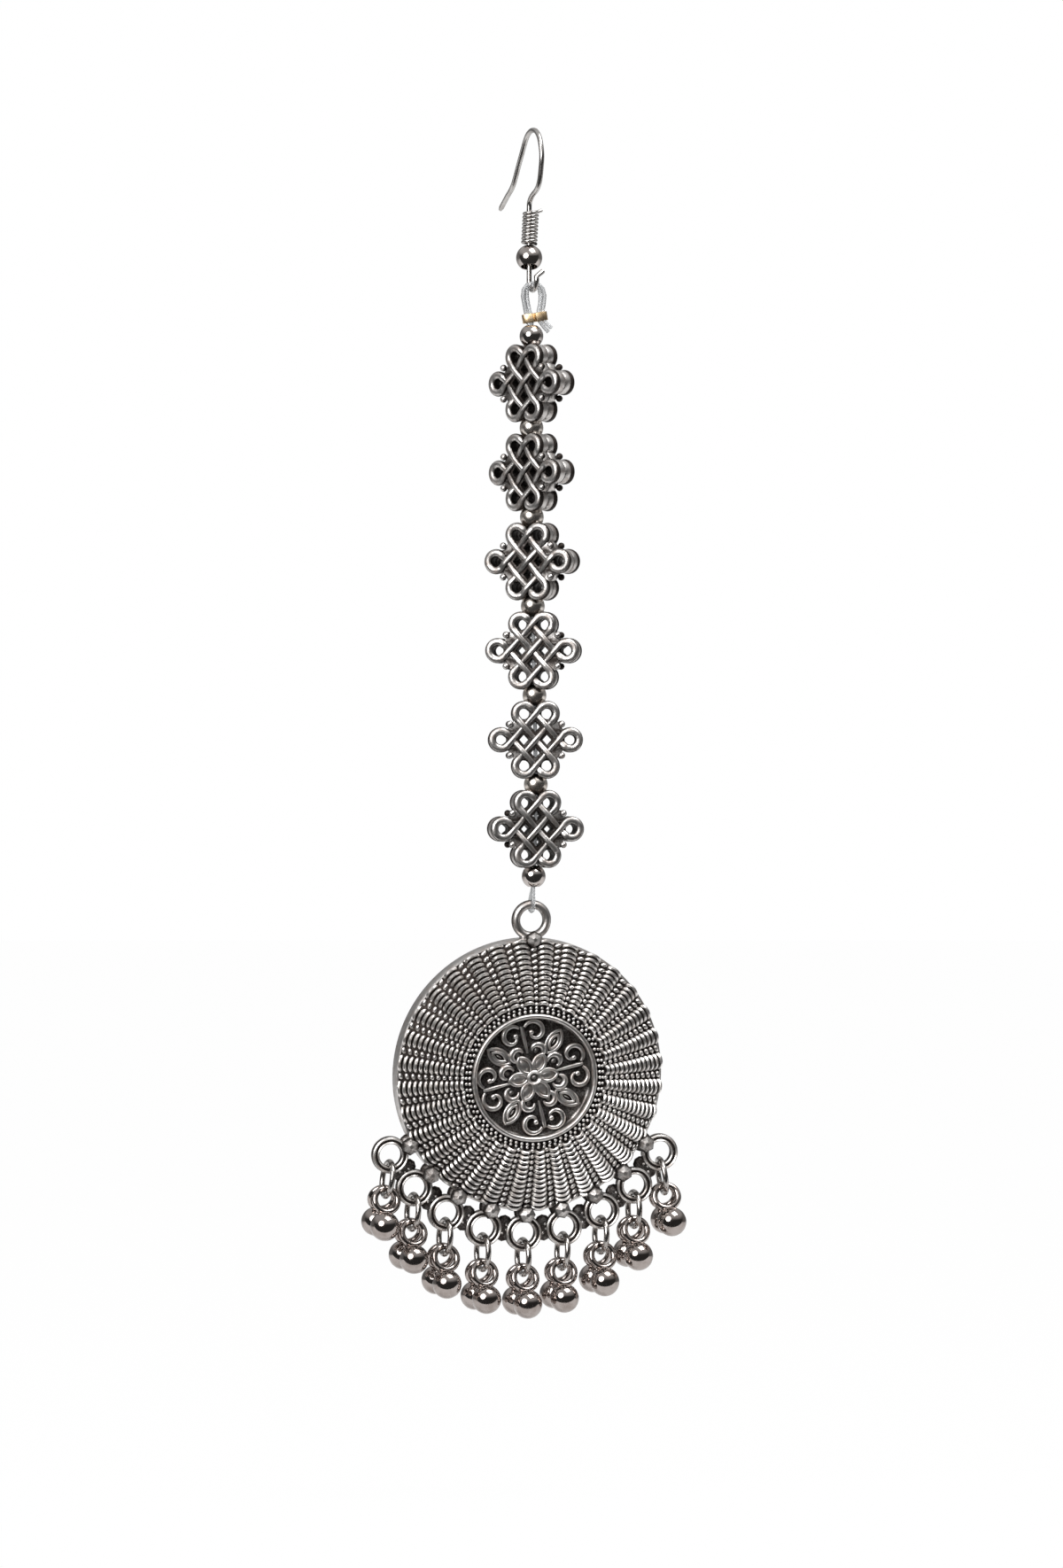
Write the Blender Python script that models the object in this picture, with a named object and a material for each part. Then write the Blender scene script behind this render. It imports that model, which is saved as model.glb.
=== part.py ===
"""Maang tikka, a forehead jewel, built as an assembly of named pieces.

An ear wire with a coil and a ball holds a doubled clear thread in its eye.  The thread
carries six cast knot beads between ball beads and turns back round the top ring of a
domed disc pendant.  Nine rings on the pendant's lower rim each hold a jump ring with
two ball drops.

Units are metres, +Z is up and the front faces -Y.  The origin is the inside of the
hook's top, where the jewel hangs.
"""

import math

import bmesh
import bpy
from mathutils import Matrix, Vector

# Clearances between pieces that touch on the real jewel
SEAT_GAP = 0.00012
THREAD_GAP = 0.0001
LINK_GAP = 0.0002

# Ear wire: a hook in an upright plane, its stem and its eye
WIRE_DIAMETER = 0.00064
HOOK_TURN = math.radians(68.0)
HOOK_REACH = 0.0110
HOOK_DROP = 0.00932
STEM_START = 0.00988
EYE_RADIUS = 0.00124
EYE_SWEEP = math.radians(200.0)
EYE_TIP_OUT = 0.0008
EYE_TIP_BACK = 0.0009
EYE_TIP_RISE = 0.0007

# Hook from the cut tip to the stem: (share of reach, share of drop from the wire's top)
HOOK_ROUTE = [
    (-1.000, 1.000),
    (-0.797, 0.845),
    (-0.607, 0.702),
    (-0.417, 0.416),
    (-0.228, 0.130),
    (-0.120, 0.030),
    (0.000, 0.000),
    (0.120, 0.035),
    (0.215, 0.145),
    (0.269, 0.344),
    (0.250, 0.520),
    (0.202, 0.702),
    (0.120, 0.805),
    (-0.020, 0.880),
    (-0.098, 0.960),
]

# Coil and ball on the ear wire's stem
COIL_WIRE = 0.00042
COIL_TURNS = 9
COIL_PITCH = 0.000445
COIL_PLAY = 0.0003
COIL_LEAN = math.radians(3.0)
COIL_END = 0.0007
COIL_END_LEAN = (1.2, 0.0, 0.5)
EAR_BALL_DIAMETER = 0.0033
EAR_BALL_DROP = 0.01563
EAR_BALL_TOP_BORE = 0.0015
EAR_BALL_LOW_BORE = 0.0021
EAR_BALL_TILT = math.radians(12.0)

# Thread and crimp
THREAD_DIAMETER = 0.0005
THREAD_SPLIT = 0.00006
THREAD_TURN_SHARE = 0.62
LOOP_LIFT = 0.00025
LOOP_OUTER_WIDTH = 0.0028
LOOP_INNER_WIDTH = 0.00176
# Down from the eye's centre to the crimp, and from the crimp to the top ball
EYE_TO_CRIMP = 0.00466
CRIMP_TO_BALL = 0.00234
CRIMP_SHIFT = 0.00024
CRIMP_HEIGHT = 0.0011
CRIMP_WALL = 0.0002
CRIMP_CREASE = 0.00040
CRIMP_TILT = math.radians(9.0)
# Shares of the crimp's half height: its corner, how far the corner is rounded, its slots
CRIMP_CORNER = 0.6
CRIMP_ROUND = 0.3
SLOT_CHAMFER = 0.5

# Thread loop over the eye: (share of half width, share of height from its top)
LOOP_SHAPE = [(0.0, 0.0), (0.56, 0.06), (0.90, 0.20), (1.0, 0.42), (0.88, 0.70)]
# Cut tails below the crimp: (right, back, down) from the strand's place in the crimp
TAIL_OUTER = [(0.00050, -0.00010, 0.00095), (0.00110, -0.00015, 0.00150)]
TAIL_INNER = [(0.00062, 0.00012, 0.00118), (0.00128, 0.00018, 0.00190)]

# String of beads
BALL_DIAMETER = 0.0030
KNOT_COUNT = 6
KNOT_PITCH = 0.01118
END_BALL_REACH = 0.00592
PENDANT_HANG = 0.00442
STRING_SHIFT = -0.00018
STRING_SWAY = 0.00055
KNOT_TURNS = [math.radians(angle) for angle in (-43.0, -43.0, -25.0, -8.0, 2.0, 10.0)]

# Knot bead: six loops round a lattice of nine crossings
KNOT_CELL_X = 0.00145
KNOT_CELL_Z = 0.00165
KNOT_LOBE_RADIUS = 0.0015
KNOT_HOLE_RADIUS = 0.00072
KNOT_DEPTH = 0.0039
KNOT_STRAND = 0.0008
SIDE_LOBE_END = math.radians(125.0)
TOP_LOBE_START = math.radians(-35.0)

# Pendant disc, front heights measured from the plane of its rings
DISC_DIAMETER = 0.0344
RIM_FRONT = 0.0011
RIM_BACK = 0.0011
RIM_LAND = 0.0004
BEZEL_DIAMETER = 0.0162
BEZEL_HEIGHT = 0.0042
BEZEL_WIDTH = 0.0005
BEZEL_STEP = 0.0005
RECESS_DEPTH = 0.0016
SHELL_WALL = 0.0011
SHELL_RIM_RUN = 0.00176
SHELL_CONE_DEPTH = 0.00154
DOME_CROWN = 0.0004
RIB_COUNT = 32
RIB_HEIGHT = 0.0004
PENDANT_TURN = math.radians(14.5)
PENDANT_PITCH = math.radians(6.0)

# Medallion relief inside the bezel
BUTTON_DIAMETER = 0.0022
BUTTON_HEIGHT = 0.0013
PETAL_COUNT = 6
PETAL_LENGTH = 0.0019
PETAL_WIDTH = 0.0011
PETAL_HEIGHT = 0.0009
PETAL_RING = 0.0021
LEAF_COUNT = 4
LEAF_LENGTH = 0.0033
LEAF_WIDTH = 0.00175
LEAF_RING = 0.00515
LEAF_START = math.radians(30.0)
SCROLL_DIAMETER = 0.0025
SCROLL_RING = 0.0060
SCROLL_SPREAD = math.radians(13.5)
SCROLL_START = math.radians(-15.0)
RELIEF_HEIGHT = 0.0009
# Flat top of each raised form, as a share of its foot
RELIEF_TOP = 0.56

# Top ring and rim rings of the pendant
TOP_RING_HOLE = 0.0029
TOP_RING_BAR = 0.0011
TOP_RING_SEAT = 0.0003
TOP_GRANULE = 0.0019
RIM_RING_COUNT = 9
RIM_RING_PITCH = math.radians(15.0)
RIM_RING_STAND = 0.00067
RIM_RING_HOLE = 0.0028
RIM_RING_BAR = 0.00093
RING_THICKNESS = 0.0013
RIM_GRANULE = 0.0021
GRANULE_RISE = 0.0005
WEB_HEIGHT = 0.0009
WEB_THICKNESS = 0.0010

# Jump rings and drops
JUMP_DIAMETER = 0.0050
JUMP_WIRE = 0.00065
EYE_RING_DIAMETER = 0.0038
EYE_RING_WIRE = 0.0008
DROP_BALL_DIAMETER = 0.0036
DROP_BALL_REACH = 0.00335
FRONT_LEAN = math.radians(17.0)
BACK_LEAN = math.radians(-24.0)
# Jump rings from the left end to the right end, in degrees: (turn, sideways lean)
JUMP_POSES = [(26, -8), (30, -4), (30, -3), (31, -1), (30, 0), (27, -3), (30, -1), (29, 0), (16, 9)]

# Facets of round forms
BALL_SIDES = 12
BALL_RINGS = 5
BORE_SIDES = 10
LINK_SIDES = 10
WIRE_SIDES = 5
DROP_SIDES = 10
COIL_SIDES = 8
TOP_RING_SIDES = 6
EYE_STEPS = 7
SIDE_LOBE_STEPS = 3
TOP_LOBE_STEPS = 5
HOLE_SIDES = 6
LEAF_SIDES = 6
SCROLL_SIDES = 8
GRANULE_SIDES = 8
SHARP_ANGLE = math.radians(40.0)

# Places that follow from the sizes above
HALF_WIRE = WIRE_DIAMETER / 2
HALF_THREAD = THREAD_DIAMETER / 2
BORE_RADIUS = THREAD_DIAMETER + THREAD_SPLIT / 2 + THREAD_GAP
STRAND_OFFSET = (THREAD_DIAMETER + THREAD_SPLIT) / 2
EYE_DROP = EAR_BALL_DROP + EAR_BALL_DIAMETER / 2 + EYE_RADIUS
CRIMP_DROP = EYE_DROP + EYE_TO_CRIMP
TOP_BALL_DROP = CRIMP_DROP + CRIMP_TO_BALL
FIRST_KNOT_DROP = TOP_BALL_DROP + END_BALL_REACH
LAST_KNOT_DROP = FIRST_KNOT_DROP + (KNOT_COUNT - 1) * KNOT_PITCH
BOTTOM_BALL_DROP = LAST_KNOT_DROP + END_BALL_REACH
PIVOT_DROP = BOTTOM_BALL_DROP + PENDANT_HANG
TOP_RING_RADIUS = DISC_DIAMETER / 2 + TOP_RING_HOLE / 2 + TOP_RING_BAR - TOP_RING_SEAT
RIM_RING_CIRCLE = DISC_DIAMETER + RIM_RING_HOLE + 2 * (RIM_RING_BAR + RIM_RING_STAND)
PIVOT_RADIUS = TOP_RING_RADIUS + TOP_RING_HOLE / 2 - HALF_THREAD - THREAD_GAP

# Finishes: name, colour, metallic value, roughness
FINISHES = {
    "antique_silver": ((0.56, 0.54, 0.52), 1.0, 0.32),
    "bead_metal": ((0.42, 0.39, 0.37), 1.0, 0.12),
    "wire_steel": ((0.62, 0.58, 0.56), 1.0, 0.22),
    "crimp_brass": ((0.80, 0.58, 0.22), 1.0, 0.28),
    "clear_nylon": ((0.88, 0.89, 0.90), 0.0, 0.15),
}


def clear_scene():
    """Remove whatever objects the file starts with."""
    for old in list(bpy.data.objects):
        bpy.data.objects.remove(old, do_unlink=True)


def new_collection(name):
    """Make a collection in the scene."""
    collection = bpy.data.collections.new(name)
    bpy.context.scene.collection.children.link(collection)
    return collection


def new_finish(name):
    """Make the Principled material of one finish."""
    colour, metallic, roughness = FINISHES[name]
    material = bpy.data.materials.new(name)
    material.use_nodes = True
    shader = material.node_tree.nodes["Principled BSDF"]
    shader.inputs["Base Color"].default_value = (*colour, 1.0)
    shader.inputs["Metallic"].default_value = metallic
    shader.inputs["Roughness"].default_value = roughness
    material.diffuse_color = (*colour, 1.0)
    return material


def mesh_from(bm, name):
    """Turn a bmesh into a mesh with outward faces and smooth shading."""
    bmesh.ops.recalc_face_normals(bm, faces=bm.faces)
    mesh = bpy.data.meshes.new(name)
    bm.to_mesh(mesh)
    bm.free()
    mesh.shade_smooth()
    mesh.set_sharp_from_angle(angle=SHARP_ANGLE)
    return mesh


def add_piece(name, mesh, finish, collection, parent=None):
    """Add one named object for one piece of the jewel."""
    piece = bpy.data.objects.new(name, mesh)
    if not mesh.materials:
        mesh.materials.append(finish)
    collection.objects.link(piece)
    piece.parent = parent
    return piece


def add_empty(name, place, collection):
    """Add an empty that carries a group of pieces."""
    empty = bpy.data.objects.new(name, None)
    empty.empty_display_size = BALL_DIAMETER
    empty.location = place
    collection.objects.link(empty)
    return empty


def boolean_mesh(base, others, operation, name):
    """Join or cut a mesh with a list of closed meshes and return the result."""
    holder = bpy.data.objects.new(name, base)
    bpy.context.scene.collection.objects.link(holder)
    helpers = []
    for number, other in enumerate(others):
        helper = bpy.data.objects.new(f"{name}_tool_{number}", other)
        helper.hide_render = True
        helper.display_type = "WIRE"
        bpy.context.scene.collection.objects.link(helper)
        step = holder.modifiers.new(f"step_{number}", "BOOLEAN")
        step.operation = operation
        step.solver = "EXACT"
        step.object = helper
        helpers.append(helper)
    graph = bpy.context.evaluated_depsgraph_get()
    result = bpy.data.meshes.new_from_object(holder.evaluated_get(graph))
    result.name = name
    for used in [holder] + helpers:
        bpy.data.objects.remove(used, do_unlink=True)
    result.shade_smooth()
    result.set_sharp_from_angle(angle=SHARP_ANGLE)
    return result


def curve_mesh(points, radius, name, closed=False, roundness=1):
    """Sweep a round wire along points and return it as a welded mesh."""
    curve = bpy.data.curves.new(name, "CURVE")
    curve.dimensions = "3D"
    curve.bevel_depth = radius
    curve.bevel_resolution = roundness
    curve.use_fill_caps = not closed
    spline = curve.splines.new("POLY")
    spline.points.add(len(points) - 1)
    for target, point in zip(spline.points, points):
        target.co = (*point, 1.0)
    spline.use_cyclic_u = closed
    holder = bpy.data.objects.new(name, curve)
    bpy.context.scene.collection.objects.link(holder)
    graph = bpy.context.evaluated_depsgraph_get()
    swept = bpy.data.meshes.new_from_object(holder.evaluated_get(graph))
    bpy.data.objects.remove(holder, do_unlink=True)
    bm = bmesh.new()
    bm.from_mesh(swept)
    bmesh.ops.remove_doubles(bm, verts=bm.verts, dist=radius / 100)
    bpy.data.meshes.remove(swept)
    return mesh_from(bm, name)


def plate_mesh(outlines, thickness, name):
    """Make a flat plate in the XZ plane from an outer outline and its holes."""
    curve = bpy.data.curves.new(name, "CURVE")
    curve.dimensions = "2D"
    curve.fill_mode = "BOTH"
    curve.extrude = thickness / 2
    for outline in outlines:
        spline = curve.splines.new("POLY")
        spline.points.add(len(outline) - 1)
        for target, (x, z) in zip(spline.points, outline):
            target.co = (x, z, 0.0, 1.0)
        spline.use_cyclic_u = True
    holder = bpy.data.objects.new(name, curve)
    bpy.context.scene.collection.objects.link(holder)
    graph = bpy.context.evaluated_depsgraph_get()
    flat = bpy.data.meshes.new_from_object(holder.evaluated_get(graph))
    bpy.data.objects.remove(holder, do_unlink=True)
    bm = bmesh.new()
    bm.from_mesh(flat)
    bmesh.ops.remove_doubles(bm, verts=bm.verts, dist=thickness / 10000)
    bmesh.ops.rotate(bm, verts=bm.verts, matrix=Matrix.Rotation(math.pi / 2, 3, "X"))
    bpy.data.meshes.remove(flat)
    return mesh_from(bm, name)


def turned_mesh(profile, steps, name):
    """Turn a closed or axis-to-axis profile of (radius, height) points about Z."""
    bm = bmesh.new()
    ring = [bm.verts.new((radius, 0.0, height)) for radius, height in profile]
    edges = [bm.edges.new(pair) for pair in zip(ring, ring[1:])]
    if profile[0][0] > 0.0:
        edges.append(bm.edges.new((ring[-1], ring[0])))
    bmesh.ops.spin(
        bm,
        geom=ring + edges,
        cent=(0.0, 0.0, 0.0),
        axis=(0.0, 0.0, 1.0),
        angle=math.tau,
        steps=steps,
        use_merge=True,
    )
    bmesh.ops.remove_doubles(bm, verts=bm.verts, dist=1e-8)
    return mesh_from(bm, name)


def ring_bmesh(radius, bar_in, bar_through, sides, bar_sides):
    """Make a ring about Y: its bar is bar_in wide in the plane and bar_through deep."""
    bm = bmesh.new()
    bmesh.ops.create_circle(bm, segments=bar_sides, radius=1.0)
    bmesh.ops.scale(bm, vec=(bar_in / 2, bar_through / 2, 1.0), verts=bm.verts)
    bmesh.ops.translate(bm, vec=(radius, 0.0, 0.0), verts=bm.verts)
    bmesh.ops.spin(
        bm,
        geom=list(bm.verts) + list(bm.edges),
        cent=(0.0, 0.0, 0.0),
        axis=(0.0, 1.0, 0.0),
        angle=math.tau,
        steps=sides,
        use_merge=True,
    )
    return bm


def merge_moved(target, source, matrix):
    """Copy a bmesh's shapes into another one at a place, and free the source."""
    bmesh.ops.transform(source, matrix=matrix, verts=source.verts)
    carrier = bpy.data.meshes.new("carrier")
    bmesh.ops.recalc_face_normals(source, faces=source.faces)
    source.to_mesh(carrier)
    source.free()
    target.from_mesh(carrier)
    bpy.data.meshes.remove(carrier)


def smooth_points(points, steps):
    """Lay points on a smooth curve through the given ones, steps to each stretch."""
    ends = [2 * points[0] - points[1]] + points + [2 * points[-1] - points[-2]]
    smooth = []
    for before, start, stop, after in zip(ends, ends[1:], ends[2:], ends[3:]):
        for step in range(steps):
            t = step / steps
            pull = (stop - before) * t + (2 * before - 5 * start + 4 * stop - after) * t * t
            pull += (3 * (start - stop) + after - before) * t * t * t
            smooth.append(start + pull / 2)
    smooth.append(points[-1])
    return smooth


def string_point(drop):
    """Give the middle of the bead string at a drop below the hook."""
    share = (drop - TOP_BALL_DROP) / (PIVOT_DROP - TOP_BALL_DROP)
    sway = STRING_SWAY * math.sin(math.pi * max(share, 0.0) ** 3)
    return Vector((STRING_SHIFT + sway, 0.0, -drop))


def in_hook_plane(across, height):
    """Turn a place in the hook's own plane into a place in space."""
    return Vector((across * math.cos(HOOK_TURN), -across * math.sin(HOOK_TURN), height))


def ear_wire_mesh():
    """Bend the hook, its stem and its eye from one wire."""
    hook = [
        in_hook_plane(across * HOOK_REACH, HALF_WIRE - down * HOOK_DROP)
        for across, down in HOOK_ROUTE
    ]
    hook.append(in_hook_plane(-EYE_RADIUS, HALF_WIRE - STEM_START))
    route = smooth_points(hook, 2)
    route.append(in_hook_plane(-EYE_RADIUS, -EYE_DROP))
    for step in range(1, EYE_STEPS + 1):
        angle = math.pi + EYE_SWEEP * step / EYE_STEPS
        across = EYE_RADIUS * math.cos(angle)
        route.append(in_hook_plane(across, -EYE_DROP + EYE_RADIUS * math.sin(angle)))
    route.append(route[-1] + Vector((EYE_TIP_OUT, EYE_TIP_BACK, EYE_TIP_RISE)))
    return curve_mesh(route, HALF_WIRE, "ear_wire", roundness=2)


def coil_mesh():
    """Wind the thin wire round the stem, standing on the ball, with a cut end on top."""
    radius = HALF_WIRE + COIL_PLAY + COIL_WIRE / 2
    ball_radius = EAR_BALL_DIAMETER / 2
    seat = math.sqrt(ball_radius**2 - radius**2) + SEAT_GAP + COIL_WIRE / 2
    foot = in_hook_plane(-EYE_RADIUS, -EAR_BALL_DROP + seat)
    route = []
    for step in range(COIL_TURNS * COIL_SIDES + 1):
        angle = math.tau * step / COIL_SIDES
        rise = COIL_PITCH * step / COIL_SIDES
        lean = rise * math.tan(COIL_LEAN)
        swing = Vector((radius * math.cos(angle) + lean, radius * math.sin(angle), rise))
        route.append(foot + swing)
    leaving = (route[-1] - route[-2]).normalized() + Vector(COIL_END_LEAN)
    route.append(route[-1] + leaving.normalized() * COIL_END)
    return curve_mesh(route, COIL_WIRE / 2, "ear_wire_coil")


def bead_profile(radius, top_bore, low_bore, rings):
    """Give a drilled ball's outline, down its outer side and up its bore."""
    start = math.acos(top_bore / radius)
    stop = -math.acos(low_bore / radius)
    angles = [start + (stop - start) * step / rings for step in range(rings + 1)]
    return [(radius * math.cos(angle), radius * math.sin(angle)) for angle in angles]


def crimp_outlines():
    """Give the crimp's outline and the outlines of its two slots, in its own plane."""
    half_high = HALF_THREAD + THREAD_GAP
    slot_in = CRIMP_CREASE / 2 - THREAD_GAP
    slot_out = CRIMP_CREASE / 2 + 2 * THREAD_DIAMETER + THREAD_SPLIT + THREAD_GAP
    outer_high = half_high + CRIMP_WALL
    corner = outer_high * CRIMP_CORNER
    wide = slot_out + CRIMP_WALL
    outline = []
    for across, up in ((1, 1), (-1, 1), (-1, -1), (1, -1)):
        near = (across * (wide - corner), up * outer_high)
        far = (across * wide, up * (outer_high - corner))
        trim = corner * CRIMP_ROUND
        middle = (across * (wide - trim), up * (outer_high - trim))
        outline += [far, middle, near] if across == up else [near, middle, far]
    slots = []
    for side in (-1, 1):
        edges = sorted((side * slot_in, side * slot_out))
        chamfer = half_high * SLOT_CHAMFER
        slot = []
        for across, end in ((edges[1], 1), (edges[0], -1)):
            for up in (1, -1) if end == -1 else (-1, 1):
                corners = [
                    (across, up * (half_high - chamfer)),
                    (across - end * chamfer, up * half_high),
                ]
                slot += corners if up == end else corners[::-1]
        slots.append(slot)
    return [outline] + slots


def crimp_mesh():
    """Cut the flattened tube with its two slots, standing on end."""
    mesh = plate_mesh(crimp_outlines(), CRIMP_HEIGHT, "crimp")
    mesh.transform(Matrix.Rotation(math.pi / 2, 4, "X"))
    return mesh


def strand_slots():
    """Give the four strands' places across the crimp, from left to right."""
    inner = CRIMP_CREASE / 2 + HALF_THREAD
    outer = inner + THREAD_DIAMETER + THREAD_SPLIT
    return [-outer, -inner, inner, outer]


def in_crimp(across, up):
    """Turn a place in the tilted crimp into a place in space."""
    centre = Vector((CRIMP_SHIFT, 0.0, -CRIMP_DROP))
    return centre + Matrix.Rotation(-CRIMP_TILT, 3, "Y") @ Vector((across, 0.0, up))


def eye_loop(width, depth_side, left_slot, right_slot):
    """Give a thread loop over the eye, from its left strand up and over to its right."""
    bow = EYE_RADIUS - math.sqrt(EYE_RADIUS**2 - THREAD_DIAMETER**2)
    top = -EYE_DROP - EYE_RADIUS + HALF_WIRE + HALF_THREAD + LOOP_LIFT + bow
    left_foot = in_crimp(left_slot, CRIMP_HEIGHT / 2)
    right_foot = in_crimp(right_slot, CRIMP_HEIGHT / 2)
    left = []
    right = []
    for across, down in LOOP_SHAPE:
        for side, foot, points in ((-1, left_foot, left), (1, right_foot, right)):
            height = top + (foot.z - top) * down
            shift = CRIMP_SHIFT * down
            depth = depth_side * STRAND_OFFSET * (1.0 - down)
            points.append(Vector((side * across * width / 2 + shift, depth, height)))
    return [left_foot] + left[:0:-1] + right + [right_foot]


def thread_route():
    """Give the whole thread: tail, loop, strand down, turn, strand up, loop, tail."""
    slots = strand_slots()
    beads = string_drops()
    front_loop = eye_loop(LOOP_OUTER_WIDTH, -1, slots[0], slots[3])
    back_loop = eye_loop(LOOP_INNER_WIDTH, 1, slots[1], slots[2])
    tails = []
    for slot, tail in ((slots[3], TAIL_OUTER), (slots[2], TAIL_INNER)):
        foot = in_crimp(slot, -CRIMP_HEIGHT / 2)
        centre = in_crimp(slot, 0.0)
        tails.append([foot] + [centre + Vector((x, y, -z)) for x, y, z in tail])
    strands = []
    mouth = math.sqrt((BALL_DIAMETER / 2) ** 2 - BORE_RADIUS**2)
    for side, slot in ((-1, slots[0]), (1, slots[1])):
        entry = string_point(TOP_BALL_DROP - mouth)
        entry.y = side * STRAND_OFFSET
        strand = [in_crimp(slot, -CRIMP_HEIGHT / 2 - THREAD_GAP), entry]
        for drop in beads:
            strand.append(string_point(drop) + Vector((0.0, side * STRAND_OFFSET, 0.0)))
        strands.append(strand)
    turn = pendant_turn_points()
    route = tails[0][::-1] + front_loop[::-1] + strands[0] + turn
    return route + strands[1][::-1] + back_loop + tails[1]


def pendant_turn_points():
    """Take the thread down before the top ring's bar, under it and up behind it."""
    pivot = string_point(PIVOT_DROP)
    facing = Vector((math.sin(PENDANT_TURN), -math.cos(PENDANT_TURN), 0.0))
    half_turn = RING_THICKNESS / 2 + HALF_THREAD + THREAD_GAP
    bar_drop = HALF_THREAD + THREAD_GAP + TOP_RING_BAR / 2
    exit_point = string_point(BOTTOM_BALL_DROP + BALL_DIAMETER / 2)
    front = [
        exit_point + Vector((0.0, -STRAND_OFFSET, 0.0)),
        pivot + facing * half_turn + Vector((0.0, 0.0, bar_drop + TOP_RING_BAR / 4)),
        pivot + facing * half_turn + Vector((0.0, 0.0, bar_drop - TOP_RING_BAR / 4)),
        pivot + facing * half_turn * THREAD_TURN_SHARE + Vector((0.0, 0.0, THREAD_GAP)),
    ]
    back = [
        exit_point + Vector((0.0, STRAND_OFFSET, 0.0)),
        pivot - facing * half_turn + Vector((0.0, 0.0, bar_drop + TOP_RING_BAR / 4)),
        pivot - facing * half_turn + Vector((0.0, 0.0, bar_drop - TOP_RING_BAR / 4)),
        pivot - facing * half_turn * THREAD_TURN_SHARE + Vector((0.0, 0.0, THREAD_GAP)),
    ]
    return front + [pivot] + back[::-1]


def string_drops():
    """Give the drop of each bead on the string, from the top ball to the bottom ball."""
    drops = [TOP_BALL_DROP]
    for number in range(KNOT_COUNT):
        drops.append(FIRST_KNOT_DROP + number * KNOT_PITCH)
        if number < KNOT_COUNT - 1:
            drops.append(FIRST_KNOT_DROP + (number + 0.5) * KNOT_PITCH)
    return drops + [BOTTOM_BALL_DROP]


def arc_points(centre, radius, start, stop, steps):
    """Give points along an arc, both ends included."""
    angles = [start + (stop - start) * step / steps for step in range(steps + 1)]
    x, z = centre
    return [(x + radius * math.cos(angle), z + radius * math.sin(angle)) for angle in angles]


def knot_outline():
    """Give the six-lobed outline, one quadrant mirrored to the other three."""
    side_lobe = (3 * KNOT_CELL_X, 0.0)
    top_lobe = (KNOT_CELL_X, 2 * KNOT_CELL_Z)
    notch = math.acos(max(-1.0, -KNOT_CELL_X / KNOT_LOBE_RADIUS))
    quadrant = arc_points(side_lobe, KNOT_LOBE_RADIUS, 0.0, SIDE_LOBE_END, SIDE_LOBE_STEPS)
    quadrant += arc_points(top_lobe, KNOT_LOBE_RADIUS, TOP_LOBE_START, notch, TOP_LOBE_STEPS)
    outline = list(quadrant)
    for mirror_x, mirror_z in ((-1, 1), (-1, -1), (1, -1)):
        turned = quadrant[::-1] if mirror_x * mirror_z < 0 else quadrant
        outline += [(mirror_x * x, mirror_z * z) for x, z in turned]
    kept = []
    for point in outline:
        last = kept[-1] if kept else (1.0, 1.0)
        if math.dist(point, last) > 1e-6 and (not kept or math.dist(point, kept[0]) > 1e-6):
            kept.append(point)
    return kept


def knot_holes():
    """Give the six loop holes and the four open cells of the lattice."""
    holes = []
    last = math.tau * (HOLE_SIDES - 1) / HOLE_SIDES
    for i, j in ((3, 0), (-3, 0), (1, 2), (-1, 2), (1, -2), (-1, -2)):
        centre = (i * KNOT_CELL_X, j * KNOT_CELL_Z)
        holes.append(arc_points(centre, KNOT_HOLE_RADIUS, 0.0, last, HOLE_SIDES - 1))
    reach = KNOT_CELL_X * KNOT_CELL_Z / math.hypot(KNOT_CELL_X, KNOT_CELL_Z)
    share = (reach - KNOT_STRAND / 2) / reach
    for i, j in ((1, 0), (-1, 0), (0, 1), (0, -1)):
        x, z = i * KNOT_CELL_X, j * KNOT_CELL_Z
        wide, high = KNOT_CELL_X * share, KNOT_CELL_Z * share
        holes.append([(x + wide, z), (x, z + high), (x - wide, z), (x, z - high)])
    return holes


def knot_mesh():
    """Build one knot bead: the pierced plate with its bore and ball seats."""
    plate = plate_mesh([knot_outline()] + knot_holes(), KNOT_DEPTH, "knot_plate")
    return boolean_mesh(plate, [bore_cutter()], "DIFFERENCE", "knot")


def bore_cutter():
    """Make the tool that drills a knot bead and cuts the seats of the balls beside it."""
    reach = KNOT_PITCH / 2
    clear = BALL_DIAMETER / 2 + SEAT_GAP
    touch = clear * math.sqrt(0.5)
    mouth = 2 * KNOT_CELL_Z + KNOT_LOBE_RADIUS + SEAT_GAP
    flare = touch + mouth - (reach - touch)
    throat = reach - touch - (touch - BORE_RADIUS)
    profile = [
        (0.0, mouth),
        (flare, mouth),
        (BORE_RADIUS, throat),
        (BORE_RADIUS, -throat),
        (flare, -mouth),
        (0.0, -mouth),
    ]
    return turned_mesh(profile, BORE_SIDES, "bore_cutter")


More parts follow.
